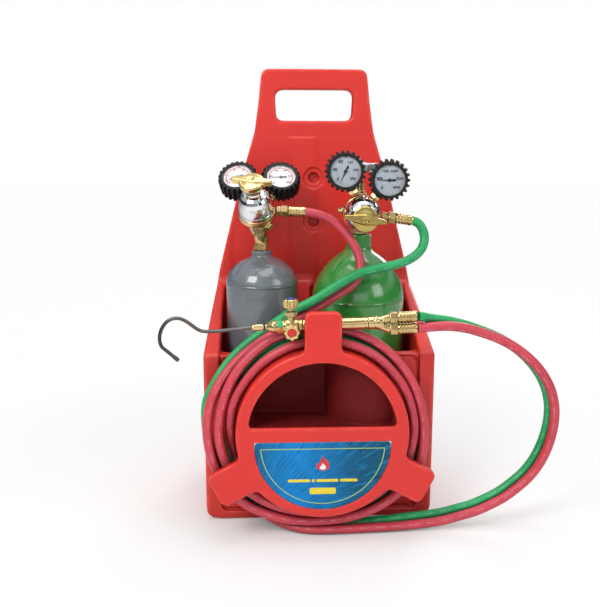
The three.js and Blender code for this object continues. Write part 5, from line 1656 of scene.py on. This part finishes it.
def welding_tip():
    path = smooth_path([
        (-48, 0, 0), (-56, 0, 0), (-75, 0, -1.3), (-95, 0, -2.3), (-110, 0, -2.2),
        (-117, 0, -0.4), (-125, 0, 5.5), (-133.5, 0, 12.4), (-143.5, 0, 16.6),
        (-154.5, 0, 14.4), (-163.8, 0, 4.5), (-167.8, 0, -8.4), (-166.2, 0, -19),
        (-158.5, 0, -26.6), (-145.5, 0, -39)], step=0.9, sigma=2.0)
    distance = arc_length(path)
    left = distance[-1] - distance
    # a plain tube that steps up to a slightly thicker end with a rounded-off mouth
    radius = np.where(left < 9, 2.65, 2.3)
    radius = np.where(left < 8.2, 2.75, radius)
    radius = np.where(left < 1.2, 2.75 - (1.2 - left) * 0.9, radius)
    piece("welding_tip_tube", sweep(path, radius, 24), "tip", "welding_tip", TORCH, sharp=45)
    sleeve = [(0, -50), (3.4, -50, 0.4), (3.7, -49, 0.2), (3.7, -47.4, 0.2), (4.3, -46.6, 0.3),
              (4.3, -36.6, 0.3), (3.9, -36.0, 0.2), (3.4, -35, 0.3), (3.4, -33.4, 0.2),
              (3.4, -31.3, 0.2), (0, -31.3)]
    piece("welding_tip_sleeve", lathe(soften(sleeve, 0.3, 3), 56), "brass", "welding_tip",
          TORCH_LAID, extra=True, slot="brass")
    seal = [(3.9 + 0.75 * math.cos(a), -34.2 + 0.75 * math.sin(a))
            for a in np.linspace(0, 2 * math.pi, 13)[:-1]]
    piece("mixer_seal_ring", lathe(seal, 56, closed=True), "rubber", "welding_tip", TORCH_LAID,
          extra=True, slot="rubber_black")


turned_ring("torch_handle_tube", [
    (6.4, 14.6), (7.9, 14.6, 0.3), (8.2, 15.4, 0.3), (8.2, 17.6, 0.2), (7.85, 18.1, 0.2),
    (7.85, 19.2, 0.2), (8.2, 19.7, 0.2), (8.2, 92.2, 0.2), (7.8, 92.8, 0.2), (7.8, 94.0, 0.2),
    (8.2, 94.6, 0.3), (8.2, 97.2, 0.3), (7.9, 97.5, 0.2), (6.4, 97.5)], 72, "torch_handle", 0.25)
solid_piece("torch_valve_forging", torch_valve, (-20.5, -13.4, -11.5), (15, 11, 20), 0.55,
            "brass_cast", "torch_valve_body", place=TORCH)
solid_piece("torch_oxygen_knob_fluted", torch_oxygen_knob, (-10.3, -10.3, 18.8),
            (10.3, 10.3, 36.8), 0.45, "knob", "torch_oxygen_knob", place=TORCH)
knob_cap("torch_oxygen_knob_cap", [
    (0, 34.8), (5.4, 34.8, 0.2), (5.4, 36.0, 0.4), (4.2, 36.6, 0.4), (0, 36.9)],
    "cap_blue", "torch_oxygen_knob", TORCH)
solid_piece("torch_fuel_knob_lobed", torch_fuel_knob, (-11, -11, -0.6), (11, 11, 10.9), 0.42,
            "knob", "torch_fuel_knob", place=FUEL_KNOB)
knob_cap("torch_fuel_knob_cap", [
    (0, 9.0), (5.2, 9.0, 0.2), (5.2, 10.0, 0.3), (4.0, 10.4, 0.3), (0, 10.5)],
    "cap_red", "torch_fuel_knob", FUEL_KNOB)
turned_ring("mixer_union_nut", [
    (2.4, -31), (4.4, -31, 0.3), (5.2, -29.8, 0.4), (6.0, -28.2, 0.4), (7.9, -24.6, 0.6),
    (8.2, -23.6, 0.4), (8.2, -22.9, 0.2), (7.8, -22.4, 0.2), (8.2, -21.9, 0.2),
    (8.2, -20.3, 0.3), (2.4, -20.3)], 64, "mixer_nut", 0.3)
torch_ring("torch_ring_oxygen", 1, "ring_green")
torch_ring("torch_ring_fuel", -1, "ring_orange")
solid_piece("torch_rear_forging", torch_rear, (97, -10, -18), (136.6, 10, 14.5), 0.55,
            "brass_cast", "torch_rear_block", place=TORCH)
for node, inlet in (("oxygen_hose_torch_ferrule", OXYGEN_INLET_Z),
                    ("fuel_hose_torch_ferrule", FUEL_INLET_Z)):
    ferrule(node, 24.8, 7.1, 6.3, 56, TORCH @ pose(origin=(136, 0, inlet)) @ LAID)
welding_tip()


# ------------------------------------------------------------------ floor, lights, world, camera
def floor_material():
    mat = Material("studio_floor")
    mat.colour = mat.mix(mat.noise(scale=1.3, detail=3, rough=0.5),
                         (0.90, 0.90, 0.905), (0.87, 0.87, 0.875))
    mat.finish(Roughness=mat.noise(scale=60, detail=3).span(0.3, 0.7, to=(0.55, 0.7)),
               Specular_IOR_Level=0.25)
    # to the camera alone, the floor brightens outwards into the white backdrop
    x, y, _ = mat.xyz()
    far = mat.math("SQRT", x * x + y * y).span(0.16, 0.72)
    glow = mat.math("SMOOTH_MIN", far, 1.0, 0.1) * 0.86 + 0.14
    white = mat.wire("Emission", {"Color": (1, 1, 1), "Strength": 1.0})
    amount = mat.wire("LightPath", output="Is Camera Ray") * glow
    mat.show(mat.mix_shader(amount, Wire(mat, mat.principled.outputs[0]), white))
    return mat.result


def floor():
    half, z = 9, -0.0004
    mesh = bpy.data.meshes.new("studio_floor")
    mesh.from_pydata([(-half, -half, z), (half, -half, z), (half, half, z), (-half, half, z)],
                     [], [[0, 1, 2, 3]])
    mesh.update()
    obj = bpy.data.objects.new("studio_floor", mesh)
    bpy.context.scene.collection.objects.link(obj)
    mesh.materials.append(floor_material())


def area_light(name, location, target, size, power, colour=(1, 1, 1), height=None):
    light = bpy.data.lights.new(name, "AREA")
    light.energy = power
    light.color = colour
    light.shape = "RECTANGLE" if height else "SQUARE"
    light.size = size
    if height:
        light.size_y = height
    obj = bpy.data.objects.new(name, light)
    bpy.context.scene.collection.objects.link(obj)
    obj.location = location
    obj.rotation_mode = "QUATERNION"
    obj.rotation_quaternion = (Vector(target) - Vector(location)).to_track_quat("-Z", "Y")


def world():
    """White to the camera, soft light to matt surfaces, banded reflections to glossy ones."""
    scene_world = bpy.data.worlds.new("studio_world")
    bpy.context.scene.world = scene_world
    scene_world.use_nodes = True
    sky = Shader(scene_world.node_tree)

    def background(colour, strength):
        return sky.wire("Background", enumerate((colour, strength)))

    x, y, z = sky.split(sky.wire("TexCoord", output="Generated"))
    # pale above, with a dark band above the horizon and a thin one higher up
    bands = sky.ramp(z.span(-1, 1), (
        (0.0, (0.55, 0.55, 0.55)), (0.46, (0.60, 0.60, 0.60)), (0.50, (0.04, 0.04, 0.05)),
        (0.615, (0.07, 0.07, 0.08)), (0.665, (0.66, 0.67, 0.69)), (0.73, (0.74, 0.75, 0.77)),
        (0.748, (0.09, 0.09, 0.10)), (0.788, (0.10, 0.10, 0.11)), (0.81, (0.86, 0.87, 0.89)),
        (1.0, (0.95, 0.97, 1.0))))
    # dark upright flags left and right of the view: angle from the front, brightness
    angle = abs(sky.math("ARCTAN2", x, y * -1.0))
    flags = sky.ramp(angle, [(position, (grey,) * 3) for position, grey in (
        (0.0, 1), (0.10, 1.0), (0.14, 0.35), (0.20, 0.35), (0.25, 1.0), (0.50, 1.0),
        (0.56, 0.06), (0.80, 0.06), (0.87, 1.0), (1.0, 0.92))])
    reflected = background(sky.mix(1.0, bands, flags, blend="MULTIPLY"), 0.85)
    path = sky.node("LightPath")
    to_gloss = Wire(sky, path.outputs["Is Glossy Ray"])
    to_camera = Wire(sky, path.outputs["Is Camera Ray"])
    lit = sky.mix_shader(to_gloss, background((0.98, 0.99, 1.0), 0.34), reflected)
    shown = sky.mix_shader(to_camera, lit, background((1, 1, 1), 1.0))
    sky.node("OutputWorld", {0: shown})


def camera():
    data = bpy.data.cameras.new("camera")
    obj = bpy.data.objects.new("camera", data)
    bpy.context.scene.collection.objects.link(obj)
    location, target = vec(-0.0625, -1.1763, 0.520), vec(0, 0, 0.291)
    roll = math.radians(0.22)
    forward = unit(target - location)
    right = unit(np.cross(forward, (0, 0, 1)))
    up = np.cross(right, forward)
    c, s = math.cos(roll), math.sin(roll)
    place = pose(right * c + up * s, up * c - right * s, -forward, location)
    obj.matrix_world = Matrix(place.tolist())
    data.sensor_width = 36.0
    data.lens = 48.9291598
    data.shift_x = -0.026853377
    data.shift_y = -0.0057660626
    data.clip_start = 0.02
    data.clip_end = 60
    bpy.context.scene.camera = obj


floor()
area_light("key_softbox", (-1.05, -1.30, 1.65), target=(0, 0, 0.30), size=0.95, power=27,
           colour=(1.0, 0.985, 0.965))
area_light("fill_softbox", (1.45, -1.25, 1.15), target=(0, 0, 0.28), size=0.9, power=8,
           colour=(0.97, 0.985, 1.0))
area_light("top_softbox", (0.1, -0.1, 1.9), target=(0, 0, 0.2), size=1.2, power=13)
area_light("front_low", (0.1, -2.2, 0.75), target=(0, 0, 0.25), size=1.4, power=3.5, height=0.7)
area_light("back_rim", (0.7, 1.5, 1.0), target=(0, 0, 0.35), size=0.8, power=9)
world()
camera()

view = bpy.context.scene.view_settings
view.view_transform = "Standard"
view.look = "None"
view.exposure = 0.0
view.gamma = 1.0
